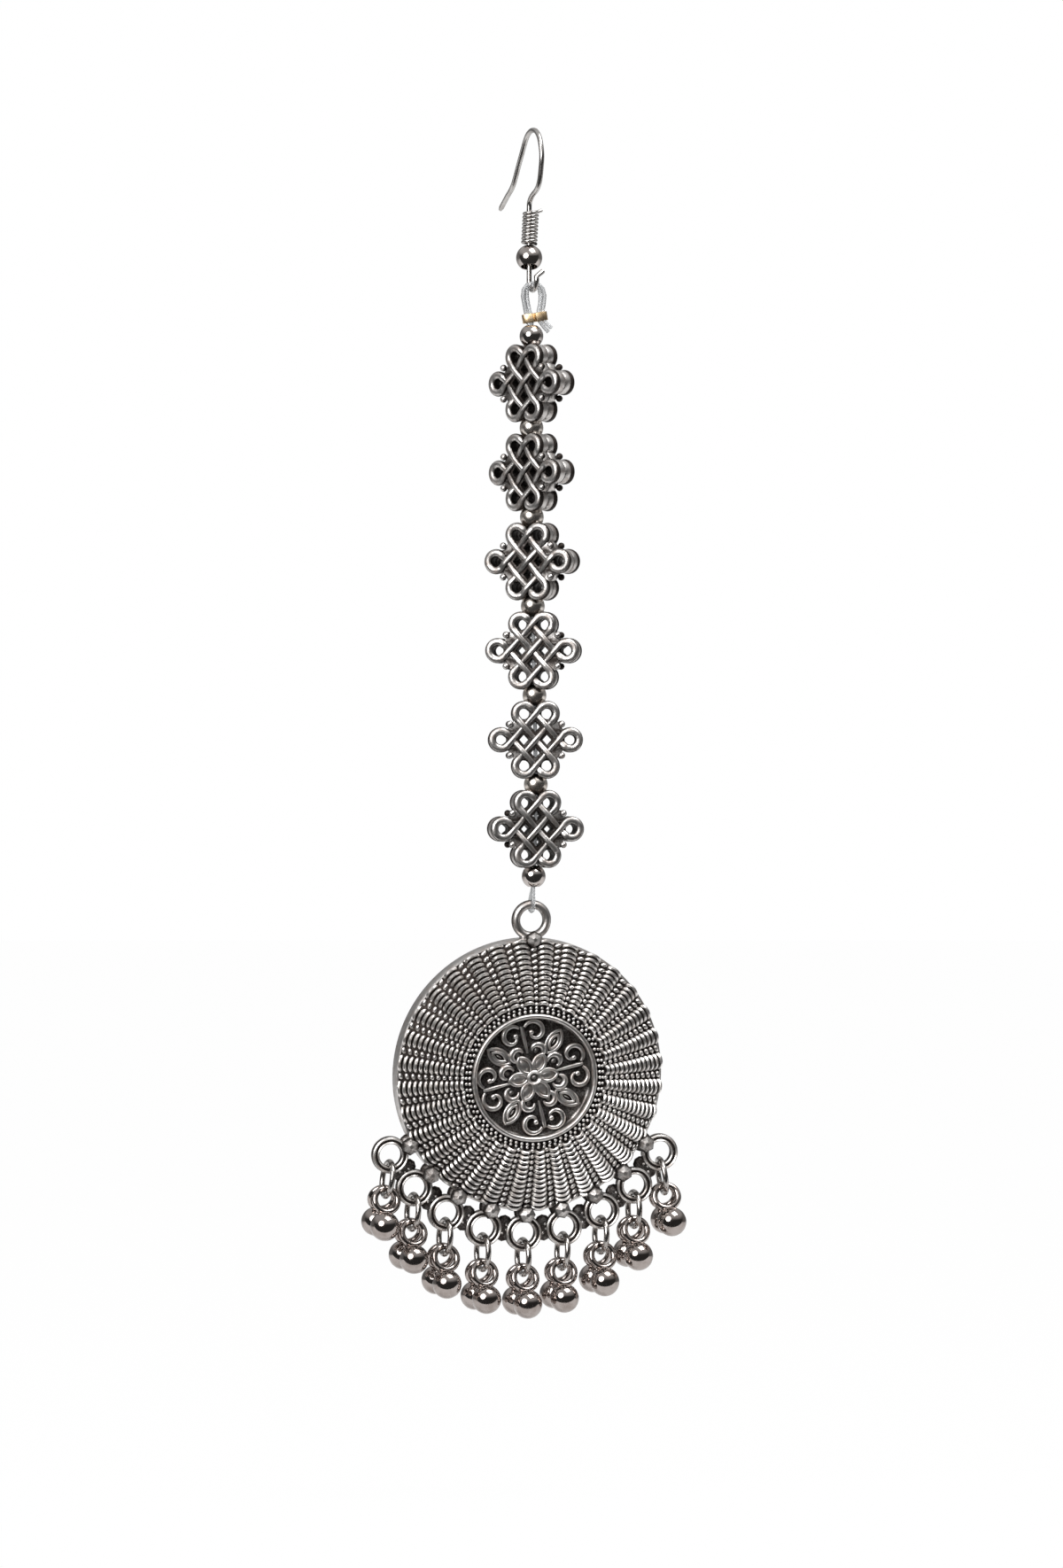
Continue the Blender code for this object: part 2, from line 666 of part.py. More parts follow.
def disc_mesh():
    """Turn the hollow-backed disc with its bezel and recess, and raise its ribs."""
    rim = DISC_DIAMETER / 2
    bezel = BEZEL_DIAMETER / 2
    cone_top = BEZEL_HEIGHT - BEZEL_STEP
    floor = BEZEL_HEIGHT - RECESS_DEPTH
    cone_in = bezel + BEZEL_STEP / 2
    cone_out = rim - RIM_LAND
    cone_mid = (cone_in + cone_out) / 2
    crown = (cone_top + RIM_FRONT) / 2 + DOME_CROWN
    inside = bezel - BEZEL_WIDTH
    profile = [
        (0.0, floor),
        (inside - BEZEL_WIDTH / 2, floor),
        (inside, BEZEL_HEIGHT),
        (bezel, BEZEL_HEIGHT),
        (cone_in, cone_top),
        (cone_mid, crown),
        (cone_out, RIM_FRONT),
        (rim, RIM_FRONT - RIM_LAND / 2),
        (rim, -RIM_BACK),
        (rim - SHELL_WALL, -RIM_BACK),
        (rim - SHELL_RIM_RUN, RIM_FRONT - SHELL_WALL),
        (bezel, cone_top - SHELL_CONE_DEPTH),
        (inside - SHELL_WALL, floor - SHELL_WALL),
        (0.0, floor - SHELL_WALL),
    ]
    bm = bmesh.new()
    bm.from_mesh(turned_mesh(profile, RIB_COUNT, "disc_turned"))
    raise_ribs(bm, cone_in, cone_out, cone_top, crown)
    bmesh.ops.rotate(bm, verts=bm.verts, matrix=Matrix.Rotation(math.pi / 2, 3, "X"))
    return mesh_from(bm, "disc")


def raise_ribs(bm, cone_in, cone_out, cone_top, crown):
    """Split each stretch of the cone along its middle and lift the split into a rib."""
    slack = 1e-6
    rings = []
    for edge in bm.edges:
        first, second = edge.verts
        radii = [math.hypot(vert.co.x, vert.co.y) for vert in edge.verts]
        level = abs(first.co.z - second.co.z) < slack and abs(radii[0] - radii[1]) < slack
        on_cone = cone_in - slack < radii[0] < cone_out + slack
        front = first.co.z > RIM_FRONT - slack and radii[0] > BEZEL_DIAMETER / 2
        shell = abs(first.co.z - (cone_top - SHELL_CONE_DEPTH)) < slack
        if level and on_cone and front and not shell:
            rings.append(edge)
    split = bmesh.ops.subdivide_edges(bm, edges=rings, cuts=1, use_grid_fill=True)
    for item in split["geom_inner"]:
        if isinstance(item, bmesh.types.BMVert):
            radius = math.hypot(item.co.x, item.co.y)
            item.co.z += RIB_HEIGHT * (radius / cone_out) ** 0.5


def petal_form(length, width, height, sides):
    """Make a low pointed form with a flat top, standing along +Z of its own frame."""
    bm = bmesh.new()
    bmesh.ops.create_cone(
        bm,
        cap_ends=True,
        segments=sides,
        radius1=0.5,
        radius2=0.5 * RELIEF_TOP,
        depth=height,
    )
    bmesh.ops.scale(bm, vec=(length, width, 1.0), verts=bm.verts)
    return bm


def on_disc(radius, angle, height):
    """Place something on the disc's front: radius, angle clockwise from up, height."""
    spot = Matrix.Translation((radius * math.sin(angle), -height, radius * math.cos(angle)))
    along = Matrix.Rotation(angle - math.pi / 2, 4, "Y")
    return spot @ along @ Matrix.Rotation(math.pi / 2, 4, "X")


def medallion_mesh():
    """Place the button, petals, leaves and scroll pairs on the recess floor."""
    floor = BEZEL_HEIGHT - RECESS_DEPTH
    sink = SHELL_WALL / 4
    bm = bmesh.new()

    def stand(form, radius, angle, height):
        merge_moved(bm, form, on_disc(radius, angle, floor - sink + (height + sink) / 2))

    button = petal_form(BUTTON_DIAMETER, BUTTON_DIAMETER, BUTTON_HEIGHT + sink, SCROLL_SIDES)
    stand(button, 0.0, 0.0, BUTTON_HEIGHT)
    for number in range(PETAL_COUNT):
        form = petal_form(PETAL_LENGTH, PETAL_WIDTH, PETAL_HEIGHT + sink, LEAF_SIDES)
        stand(form, PETAL_RING, math.tau * number / PETAL_COUNT, PETAL_HEIGHT)
    for number in range(LEAF_COUNT):
        form = petal_form(LEAF_LENGTH, LEAF_WIDTH, RELIEF_HEIGHT + sink, LEAF_SIDES)
        stand(form, LEAF_RING, LEAF_START + math.tau * number / LEAF_COUNT, RELIEF_HEIGHT)
        for side in (-1, 1):
            form = petal_form(SCROLL_DIAMETER, SCROLL_DIAMETER, RELIEF_HEIGHT + sink, SCROLL_SIDES)
            angle = SCROLL_START + math.tau * number / LEAF_COUNT + side * SCROLL_SPREAD
            stand(form, SCROLL_RING, angle, RELIEF_HEIGHT)
    return mesh_from(bm, "medallion")


def rim_ring_angles():
    """Give the rim rings' angles about the disc, from the left end, clockwise from up."""
    middle = (RIM_RING_COUNT - 1) / 2
    return [math.pi - (number - middle) * RIM_RING_PITCH for number in range(RIM_RING_COUNT)]


def granule_form(diameter):
    """Make a rounded granule."""
    bm = bmesh.new()
    rings = GRANULE_SIDES // 2
    bmesh.ops.create_uvsphere(bm, u_segments=GRANULE_SIDES, v_segments=rings, radius=diameter / 2)
    return bm


def pendant_mesh():
    """Fuse the disc, its medallion, its rings, webs and granules into one casting."""
    rings = bmesh.new()
    granules = bmesh.new()
    webs = bmesh.new()
    top_ring = ring_bmesh(
        (TOP_RING_HOLE + TOP_RING_BAR) / 2, TOP_RING_BAR, RING_THICKNESS, LINK_SIDES, TOP_RING_SIDES
    )
    merge_moved(rings, top_ring, Matrix.Translation((0.0, 0.0, TOP_RING_RADIUS)))
    merge_moved(granules, granule_form(TOP_GRANULE), on_disc(DISC_DIAMETER / 2, 0.0, GRANULE_RISE))
    ring_radius = (RIM_RING_HOLE + RIM_RING_BAR) / 2
    granule_circle = (RIM_RING_CIRCLE - RIM_RING_HOLE) / 2 - RIM_GRANULE / 2
    angles = rim_ring_angles()
    for angle in angles:
        ring = ring_bmesh(ring_radius, RIM_RING_BAR, RING_THICKNESS, LINK_SIDES, WIRE_SIDES)
        merge_moved(rings, ring, on_disc(RIM_RING_CIRCLE / 2, angle, 0.0) @ flat_ring())
        merge_moved(granules, granule_form(RIM_GRANULE), on_disc(granule_circle, angle, GRANULE_RISE))
    span = RIM_RING_CIRCLE * math.sin(RIM_RING_PITCH / 2)
    gap = span - RIM_RING_HOLE - RIM_RING_BAR
    for left, right in zip(angles, angles[1:]):
        web = bmesh.new()
        bmesh.ops.create_cube(web, size=1.0)
        bmesh.ops.scale(web, vec=(WEB_HEIGHT, gap, WEB_THICKNESS), verts=web.verts)
        reach = RIM_RING_CIRCLE / 2 * math.cos(RIM_RING_PITCH / 2)
        merge_moved(webs, web, on_disc(reach, (left + right) / 2, 0.0))
    parts = [
        mesh_from(webs, "webs"),
        mesh_from(rings, "rings"),
        mesh_from(granules, "granules"),
        medallion_mesh(),
    ]
    return boolean_mesh(disc_mesh(), parts, "UNION", "pendant")


def flat_ring():
    """Lay a ring made about Y flat in the frame that on_disc gives."""
    return Matrix.Rotation(-math.pi / 2, 4, "X")


def drop_mesh():
    """Fuse a ball to its eye ring; the ring's centre is the origin, the ball hangs down."""
    radius = (EYE_RING_DIAMETER - EYE_RING_WIRE) / 2
    ring = ring_bmesh(radius, EYE_RING_WIRE, EYE_RING_WIRE, DROP_SIDES, WIRE_SIDES)
    ball = bmesh.new()
    bmesh.ops.create_uvsphere(
        ball,
        u_segments=DROP_SIDES,
        v_segments=BALL_RINGS,
        radius=DROP_BALL_DIAMETER / 2,
    )
    bmesh.ops.translate(ball, vec=(0.0, 0.0, -DROP_BALL_REACH), verts=ball.verts)
    return boolean_mesh(mesh_from(ring, "eye"), [mesh_from(ball, "ball")], "UNION", "drop")


def build_ear_wire(collection, finishes):
    """Place the ear wire with its coil and ball."""
    add_piece("ear_wire", ear_wire_mesh(), finishes["wire_steel"], collection)
    add_piece("ear_wire_coil", coil_mesh(), finishes["wire_steel"], collection)
    radius = EAR_BALL_DIAMETER / 2
    profile = bead_profile(radius, EAR_BALL_TOP_BORE / 2, EAR_BALL_LOW_BORE / 2, BALL_RINGS)
    mesh = turned_mesh(profile, BALL_SIDES, "ear_wire_ball")
    ball = add_piece("ear_wire_ball", mesh, finishes["bead_metal"], collection)
    ball.location = in_hook_plane(-EYE_RADIUS, -EAR_BALL_DROP)
    ball.rotation_euler = (-EAR_BALL_TILT, 0.0, 0.0)


def build_string(collection, finishes):
    """Place the thread, the crimp, the ball beads and the knot beads."""
    thread = curve_mesh(thread_route(), HALF_THREAD, "thread")
    add_piece("thread", thread, finishes["clear_nylon"], collection)
    crimp = add_piece("crimp", crimp_mesh(), finishes["crimp_brass"], collection)
    crimp.location = in_crimp(0.0, 0.0)
    crimp.rotation_euler = (0.0, -CRIMP_TILT, 0.0)
    profile = bead_profile(BALL_DIAMETER / 2, BORE_RADIUS, BORE_RADIUS, BALL_RINGS)
    ball = turned_mesh(profile, BORE_SIDES, "ball_bead")
    knot = knot_mesh()
    balls = ["ball_top"] + [f"spacer_{n + 1}" for n in range(KNOT_COUNT - 1)] + ["ball_bottom"]
    drops = string_drops()
    for name, drop in zip(balls, drops[0::2]):
        bead = add_piece(name, ball, finishes["bead_metal"], collection)
        bead.location = string_point(drop)
    for number, drop in enumerate(drops[1::2]):
        bead = add_piece(f"knot_{number + 1}", knot, finishes["antique_silver"], collection)
        bead.location = string_point(drop)
        bead.rotation_euler = (0.0, 0.0, KNOT_TURNS[number % len(KNOT_TURNS)])


def build_pendant(collection, finishes):
    """Hang the pendant on its pivot, then a jump ring and two drops in each rim ring."""
    pivot = add_empty("pendant_pivot", string_point(PIVOT_DROP), collection)
    pose = Matrix.Rotation(PENDANT_TURN, 4, "Z") @ Matrix.Rotation(PENDANT_PITCH, 4, "X")
    pose = pose @ Matrix.Translation((0.0, 0.0, -PIVOT_RADIUS))
    pendant = add_piece("pendant", pendant_mesh(), finishes["antique_silver"], collection, pivot)
    pendant.matrix_local = pose
    centre_radius = (JUMP_DIAMETER - JUMP_WIRE) / 2
    jump = mesh_from(
        ring_bmesh(centre_radius, JUMP_WIRE, JUMP_WIRE, LINK_SIDES, WIRE_SIDES), "jump_ring"
    )
    drop = drop_mesh()
    hole_drop = RIM_RING_HOLE / 2 - JUMP_WIRE / 2 - LINK_GAP
    eye_drop = centre_radius + EYE_RING_DIAMETER / 2 - EYE_RING_WIRE - JUMP_WIRE / 2 - LINK_GAP
    for number, angle in enumerate(rim_ring_angles()):
        hole = pose @ on_disc(RIM_RING_CIRCLE / 2, angle, 0.0).translation
        turn, lean = [math.radians(value) for value in JUMP_POSES[number % len(JUMP_POSES)]]
        splay = Matrix.Rotation(-lean, 4, "Y")
        hang = Matrix.Translation(hole - Vector((0.0, 0.0, hole_drop))) @ splay
        hang = hang @ Matrix.Rotation(turn, 4, "Z")
        ring_pose = hang @ Matrix.Translation((0.0, 0.0, -centre_radius))
        ring = add_piece(f"jump_ring_{number + 1}", jump, finishes["wire_steel"], collection, pivot)
        ring.matrix_local = ring_pose @ Matrix.Rotation(math.pi / 2, 4, "Z")
        for side, lean in (("front", FRONT_LEAN), ("back", BACK_LEAN)):
            name = f"drop_{side}_{number + 1}"
            piece = add_piece(name, drop, finishes["bead_metal"], collection, pivot)
            swing = Matrix.Rotation(-lean, 4, "X") @ Matrix.Translation((0.0, 0.0, -eye_drop))
            piece.matrix_local = ring_pose @ swing


def main():
    """Build the whole jewel."""
    clear_scene()
    collection = new_collection("maang_tikka")
    finishes = {name: new_finish(name) for name in FINISHES}
    build_ear_wire(collection, finishes)
    build_string(collection, finishes)
    build_pendant(collection, finishes)
    bpy.context.view_layer.update()


main()
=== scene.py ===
"""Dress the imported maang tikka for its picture.

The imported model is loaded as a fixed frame.  Every sub-assembly of the jewel is a class that
keeps its sizes in fields, builds its finer meshes with bmesh operators and dresses them; every
finish is a frozen dataclass that builds one node material.  Units are metres, +Z is up and the
front faces -Y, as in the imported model.
"""

import logging
import math
from collections.abc import Callable
from dataclasses import dataclass
from enum import Enum

import bmesh
import bpy
from bmesh.types import BMesh
from bpy.types import Curve, Material, Mesh, Node, NodeSocket, NodeTree, Object
from mathutils import Matrix, Vector

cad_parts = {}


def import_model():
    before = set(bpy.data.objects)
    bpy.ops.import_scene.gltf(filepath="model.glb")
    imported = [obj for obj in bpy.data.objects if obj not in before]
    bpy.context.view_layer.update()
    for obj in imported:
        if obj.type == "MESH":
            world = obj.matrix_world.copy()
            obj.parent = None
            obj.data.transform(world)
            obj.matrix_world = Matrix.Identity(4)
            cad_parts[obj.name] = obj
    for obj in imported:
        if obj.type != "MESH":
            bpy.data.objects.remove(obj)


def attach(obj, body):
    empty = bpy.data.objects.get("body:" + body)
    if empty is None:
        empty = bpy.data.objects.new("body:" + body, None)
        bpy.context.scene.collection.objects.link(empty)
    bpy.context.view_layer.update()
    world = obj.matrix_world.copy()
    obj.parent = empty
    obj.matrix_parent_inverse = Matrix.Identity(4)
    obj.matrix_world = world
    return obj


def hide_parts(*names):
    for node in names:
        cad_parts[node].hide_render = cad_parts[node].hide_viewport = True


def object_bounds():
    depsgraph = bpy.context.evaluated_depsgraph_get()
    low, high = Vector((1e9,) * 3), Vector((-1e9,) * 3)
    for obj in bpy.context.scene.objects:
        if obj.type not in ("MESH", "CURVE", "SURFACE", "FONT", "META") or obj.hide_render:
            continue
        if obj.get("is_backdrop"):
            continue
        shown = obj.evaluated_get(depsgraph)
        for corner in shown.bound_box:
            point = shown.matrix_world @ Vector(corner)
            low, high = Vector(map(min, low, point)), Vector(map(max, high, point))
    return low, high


LOG = logging.getLogger("maang_tikka")
# The mesh attribute holding the silver's patina and painted shade in the recesses
PATINA_AND_SHADE = "patina_and_shade"
MERGE = 1e-7
SHARP = math.radians(38.0)
AXIS_Y = (0.0, 1.0, 0.0)
AXIS_Z = (0.0, 0.0, 1.0)

Pair = tuple[float, float]
Triple = tuple[float, float, float]
Outline = list[Pair]
Rule = float | Callable[[Vector], float]


class Body(str, Enum):
    """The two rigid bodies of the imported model."""

    STRING = "string"
    PENDANT = "pendant"


class Slot(str, Enum):
    """The material slots."""

    SILVER = "antique_silver"
    BEAD = "bead_metal"
    STEEL = "wire_steel"
    BRASS = "crimp_brass"
    NYLON = "clear_nylon"


# Node groups

# The scale per metre and the detail of each noise
BLOTCH = (900.0, 4.0)
GRAIN = (5200.0, 3.0)
SCUFF = (9000.0, 2.0)
SMUDGE = (700.0, 3.0)
SCUFF_SPAN = (0.55, 0.75)
# The factor and the two colours among a Mix node's inputs, and the colour among its outputs
MIX_INPUTS = (0, 6, 7)
MIX_RESULT = 2


def feed(tree: NodeTree, socket: NodeSocket, value: object) -> None:
    """Feed an input from a socket, or set it to a number or a colour.

    Args:
        tree: The node tree.
        socket: The input.
        value: The socket to link from, a number, or a colour as red, green and blue.
    """
    if isinstance(value, NodeSocket):
        tree.links.new(value, socket)
    else:
        socket.default_value = (*value, 1.0) if isinstance(value, tuple) else value


def new_group(name: str, inputs: dict[str, float], outputs: list[str]) -> NodeTree:
    """Start a shader node group with float sockets.

    Args:
        name: The group's name.
        inputs: Each input socket's name and default value.
        outputs: The output sockets' names.

    Returns:
        The group with its input and output nodes in it.
    """
    group = bpy.data.node_groups.new(name, "ShaderNodeTree")
    for label, value in inputs.items():
        socket = group.interface.new_socket(label, in_out="INPUT", socket_type="NodeSocketFloat")
        socket.default_value = value
    for label in outputs:
        group.interface.new_socket(label, in_out="OUTPUT", socket_type="NodeSocketFloat")
    group.nodes.new("NodeGroupInput")
    group.nodes.new("NodeGroupOutput")
    return group


def add_noise(tree: NodeTree, scale: object, detail: float) -> NodeSocket:
    """Add a noise texture on Object coordinates.

    Args:
        tree: The node tree.
        scale: The noise's scale per metre, a socket or a number.
        detail: The noise's detail.

    Returns:
        The noise's value.
    """
    place = tree.nodes.new("ShaderNodeTexCoord")
    noise = tree.nodes.new("ShaderNodeTexNoise")
    values = {"Vector": place.outputs["Object"], "Scale": scale, "Detail": detail}
    for label, value in values.items():
        feed(tree, noise.inputs[label], value)
    return noise.outputs["Fac"]


def add_math(
    tree: NodeTree, operation: str, first: object, second: object, clamp: bool = False
) -> NodeSocket:
    """Add a Math node on sockets or plain numbers.

    Args:
        tree: The node tree.
        operation: The Math node's operation.
        first: A socket or a number.
        second: A socket or a number.
        clamp: Whether the result is kept between 0 and 1.

    Returns:
        The result's socket.
    """
    node = tree.nodes.new("ShaderNodeMath")
    node.operation = operation
    node.use_clamp = clamp
    feed(tree, node.inputs[0], first)
    feed(tree, node.inputs[1], second)
    return node.outputs[0]


def add_range(
    tree: NodeTree, value: NodeSocket, source: tuple[object, object], target: Pair = (0.0, 1.0)
) -> NodeSocket:
    """Add a smooth Map Range node.

    Args:
        tree: The node tree.
        value: The socket to map.
        source: The low and high ends of the value, sockets or numbers.
        target: The low and high ends of the result.

    Returns:
        The result's socket.
    """
    node = tree.nodes.new("ShaderNodeMapRange")
    node.interpolation_type = "SMOOTHSTEP"
    labels = ("Value", "From Min", "From Max", "To Min", "To Max")
    for label, end in zip(labels, (value, *source, *target)):
        feed(tree, node.inputs[label], end)
    return node.outputs["Result"]


def patina_shade_group() -> NodeTree:
    """Build the group that spreads the blackening, patina and painted shade together, out of the
    recesses.

    Returns:
        A group with the inputs Tarnish, Spread, Start and End, and the outputs Mask,
        Variation and Grain.
    """
    name = "silver_patina_and_shade"
    if name in bpy.data.node_groups:
        return bpy.data.node_groups[name]
    inputs = {"Tarnish": 0.0, "Spread": 0.4, "Start": 0.3, "End": 0.8}
    group = new_group(name, inputs, ["Mask", "Variation", "Grain"])
    given = group.nodes["Group Input"].outputs
    wanted = group.nodes["Group Output"].inputs
    blotch, grain = add_noise(group, *BLOTCH), add_noise(group, *GRAIN)
    centred = add_math(group, "SUBTRACT", add_math(group, "ADD", blotch, grain), 1.0)
    spread = add_math(group, "MULTIPLY", centred, given["Spread"])
    level = add_math(group, "ADD", given["Tarnish"], spread)
    feed(group, wanted["Mask"], add_range(group, level, (given["Start"], given["End"])))
    feed(group, wanted["Variation"], blotch)
    feed(group, wanted["Grain"], grain)
    return group


def scuff_group() -> NodeTree:
    """Build the group that lays fine scuffs and handling marks on polished metal.

    Returns:
        A group with the inputs Scale and Amount, and the outputs Scuff and Smudge.
    """
    name = "metal_scuff"
    if name in bpy.data.node_groups:
        return bpy.data.node_groups[name]
    group = new_group(name, {"Scale": 1.0, "Amount": 0.3}, ["Scuff", "Smudge"])
    given = group.nodes["Group Input"].outputs
    wanted = group.nodes["Group Output"].inputs
    fine, smudge = [
        add_noise(group, add_math(group, "MULTIPLY", given["Scale"], scale), detail)
        for scale, detail in (SCUFF, SMUDGE)
    ]
    lines = add_range(group, fine, SCUFF_SPAN)
    feed(group, wanted["Scuff"], add_math(group, "MULTIPLY", lines, given["Amount"]))
    feed(group, wanted["Smudge"], smudge)
    return group


def add_group(
    tree: NodeTree, group: NodeTree, **values: object
) -> bpy.types.bpy_prop_collection:
    """Place a node group in a material.

    Args:
        tree: The material's node tree.
        group: The group.
        **values: Sockets or numbers for the group's own inputs.

    Returns:
        The group node's outputs.
    """
    node = tree.nodes.new("ShaderNodeGroup")
    node.node_tree = group
    for label, value in values.items():
        feed(tree, node.inputs[label], value)
    return node.outputs


def add_tint(tree: NodeTree, factor: NodeSocket, first: object, second: object) -> NodeSocket:
    """Mix two colours, each a plain colour or a socket.

    Args:
        tree: The node tree.
        factor: How much of the second colour shows.
        first: The colour where the factor is 0.
        second: The colour where the factor is 1.

    Returns:
        The mixed colour's socket.
    """
    node = tree.nodes.new("ShaderNodeMix")
    node.data_type = "RGBA"
    for number, value in zip(MIX_INPUTS, (factor, first, second)):
        feed(tree, node.inputs[number], value)
    return node.outputs[MIX_RESULT]


def add_bump(tree: NodeTree, height: NodeSocket, strength: float, distance: float) -> None:
    """Feed a height through a Bump node into the material's shader.

    Args:
        tree: The material's node tree.
        height: The height's socket.
        strength: The bump's strength.
        distance: The height's real depth.
    """
    bump = tree.nodes.new("ShaderNodeBump")
    for label, value in {"Strength": strength, "Distance": distance, "Height": height}.items():
        feed(tree, bump.inputs[label], value)
    feed(tree, tree.nodes["Principled BSDF"].inputs["Normal"], bump.outputs["Normal"])


def mix_shaders(tree: NodeTree, share: NodeSocket, first: Node, second: Node) -> NodeSocket:
    """Mix the shaders of two nodes.

    Args:
        tree: The node tree.
        share: How much of the second shader counts.
        first: The node whose shader counts where the share is 0.
        second: The node whose shader counts where the share is 1.

    Returns:
        The mixed shader's socket.
    """
    mix = tree.nodes.new("ShaderNodeMixShader")
    for socket, source in zip(mix.inputs, (share, first.outputs[0], second.outputs[0])):
        tree.links.new(source, socket)
    return mix.outputs[0]


def new_material(name: str, metallic: float) -> Material:
    """Start a material with a Principled shader.

    Args:
        name: The material's name.
        metallic: The shader's metallic value.

    Returns:
        The material.
    """
    material = bpy.data.materials.new(name)
    material.use_nodes = True
    material.node_tree.nodes["Principled BSDF"].inputs["Metallic"].default_value = metallic
    return material


@dataclass(frozen=True)
class AgedShadedSilver:
    """Antique silver plate: bright on the high places and blackened in the recesses, the blackening
    partly patina and partly painted shade.
    """

    name: str = "antique_silver"
    bright: Triple = (0.66, 0.635, 0.615)
    warm: Triple = (0.50, 0.45, 0.42)
    black: Triple = (0.046, 0.038, 0.034)
    bright_roughness: float = 0.34
    black_roughness: float = 0.52
    spread: float = 0.45
    start: float = 0.28
    end: float = 0.80
    warm_span: Pair = (0.45, 0.70)
    worn_span: Pair = (0.3, 0.7)
    wear: Pair = (-0.05, 0.10)
    bump: float = 0.35
    bump_depth: float = 0.00004

    def build(self) -> Material:
        """Build the material.

        Returns:
            The material, which reads the piece's attribute of patina and painted shade.
        """
        material = new_material(self.name, 1.0)
        tree = material.node_tree
        inputs = tree.nodes["Principled BSDF"].inputs
        # Painted shade in the recesses, together with the silver's patina, read from the mesh
        patina_and_shade_node = tree.nodes.new("ShaderNodeAttribute")
        patina_and_shade_node.attribute_name = PATINA_AND_SHADE
        values = {"Spread": self.spread, "Start": self.start, "End": self.end}
        patina_shade = add_group(tree, patina_shade_group(), Tarnish=patina_and_shade_node.outputs["Fac"], **values)
        warmth = add_range(tree, patina_shade["Variation"], self.warm_span)
        metal = add_tint(tree, warmth, self.bright, self.warm)
        feed(tree, inputs["Base Color"], add_tint(tree, patina_shade["Mask"], metal, self.black))
        ends = (self.bright_roughness, self.black_roughness)
        polish = add_range(tree, patina_shade["Mask"], (0.0, 1.0), ends)
        worn = add_range(tree, patina_shade["Variation"], self.worn_span, self.wear)
        feed(tree, inputs["Roughness"], add_math(tree, "ADD", polish, worn, True))
        add_bump(tree, patina_shade["Grain"], self.bump, self.bump_depth)
        return material


@dataclass(frozen=True)
class PolishedMetal:
    """Polished plated metal with faint smudges and fine scuffs."""

    name: str
    clean: Triple
    smudged: Triple
    roughness: float
    scale: float = 1.0
    scuff: float = 0.25
    bump: float = 0.12
    smudge_span: Pair = (0.42, 0.72)
    dull_span: Pair = (0.35, 0.75)
    dulling: float = 0.10
    scratching: float = 0.25
    bump_depth: float = 0.00001

    def build(self) -> Material:
        """Build the material.

        Returns:
            The material.
        """
        material = new_material(self.name, 1.0)
        tree = material.node_tree
        inputs = tree.nodes["Principled BSDF"].inputs
        marks = add_group(tree, scuff_group(), Scale=self.scale, Amount=self.scuff)
        smudge = add_range(tree, marks["Smudge"], self.smudge_span)
        feed(tree, inputs["Base Color"], add_tint(tree, smudge, self.clean, self.smudged))
        dull = add_range(tree, marks["Smudge"], self.dull_span, (0.0, self.dulling))
        rough = add_math(tree, "ADD", dull, self.roughness)
        scratched = add_math(tree, "MULTIPLY", marks["Scuff"], self.scratching)
        feed(tree, inputs["Roughness"], add_math(tree, "ADD", rough, scratched, True))
        add_bump(tree, marks["Scuff"], self.bump, self.bump_depth)
        return material


@dataclass(frozen=True)
class ClearNylon:
    """Clear nylon line, slightly cloudy."""

    name: str = "clear_nylon_line"
    clear: Triple = (0.93, 0.94, 0.95)
    cloudy: Triple = (0.78, 0.79, 0.80)
    roughness: float = 0.10
    transmission: float = 0.80
    ior: float = 1.53
    scale: float = 0.6
    haze_span: Pair = (0.40, 0.70)
    dull_span: Pair = (0.3, 0.8)
    dulling: float = 0.15

    def build(self) -> Material:
        """Build the material.

        Returns:
            The material.
        """
        material = new_material(self.name, 0.0)
        tree = material.node_tree
        inputs = tree.nodes["Principled BSDF"].inputs
        feed(tree, inputs["Transmission Weight"], self.transmission)
        feed(tree, inputs["IOR"], self.ior)
        smudge = add_group(tree, scuff_group(), Scale=self.scale)["Smudge"]
        haze = add_range(tree, smudge, self.haze_span)
        feed(tree, inputs["Base Color"], add_tint(tree, haze, self.clear, self.cloudy))
        dull = add_range(tree, smudge, self.dull_span, (0.0, self.dulling))
        feed(tree, inputs["Roughness"], add_math(tree, "ADD", dull, self.roughness))
        return material


@dataclass(frozen=True)
class StudioWhite:
    """Matte white of the studio floor, even in the picture."""

    name: str = "studio_white"
    shade: float = 0.70
    speck: float = 0.02
    speck_noise: Pair = (3.0, 2.0)
    speck_span: Pair = (0.3, 0.7)
    glow: float = 1.0
    evenness: float = 0.985

    def build(self) -> Material:
        """Build the material.

        Returns:
            The material.
        """
        material = bpy.data.materials.new(self.name)
        material.use_nodes = True
        tree = material.node_tree
        tree.nodes.clear()
        output = tree.nodes.new("ShaderNodeOutputMaterial")
        matte = tree.nodes.new("ShaderNodeBsdfDiffuse")
        ends = (self.shade, self.shade + self.speck)
        speck = add_noise(tree, *self.speck_noise)
        feed(tree, matte.inputs["Color"], add_range(tree, speck, self.speck_span, ends))
        lamp = tree.nodes.new("ShaderNodeEmission")
        lamp.inputs["Strength"].default_value = self.glow
        ray = tree.nodes.new("ShaderNodeLightPath")
        share = add_math(tree, "MULTIPLY", ray.outputs["Is Camera Ray"], self.evenness)
        feed(tree, output.inputs["Surface"], mix_shaders(tree, share, matte, lamp))
        return material


SILVER = AgedShadedSilver()
# A paler copy of the antique silver for the wound ribs and granules: painted light that brightens
# them
RIB_SILVER_PAINTED_LIGHT = AgedShadedSilver(
    "rib_silver_painted_light", (0.88, 0.85, 0.825), (0.70, 0.655, 0.62), bright_roughness=0.29, start=0.32
)
BEAD_METAL = PolishedMetal("bead_metal", (0.56, 0.515, 0.49), (0.42, 0.37, 0.345), 0.09)
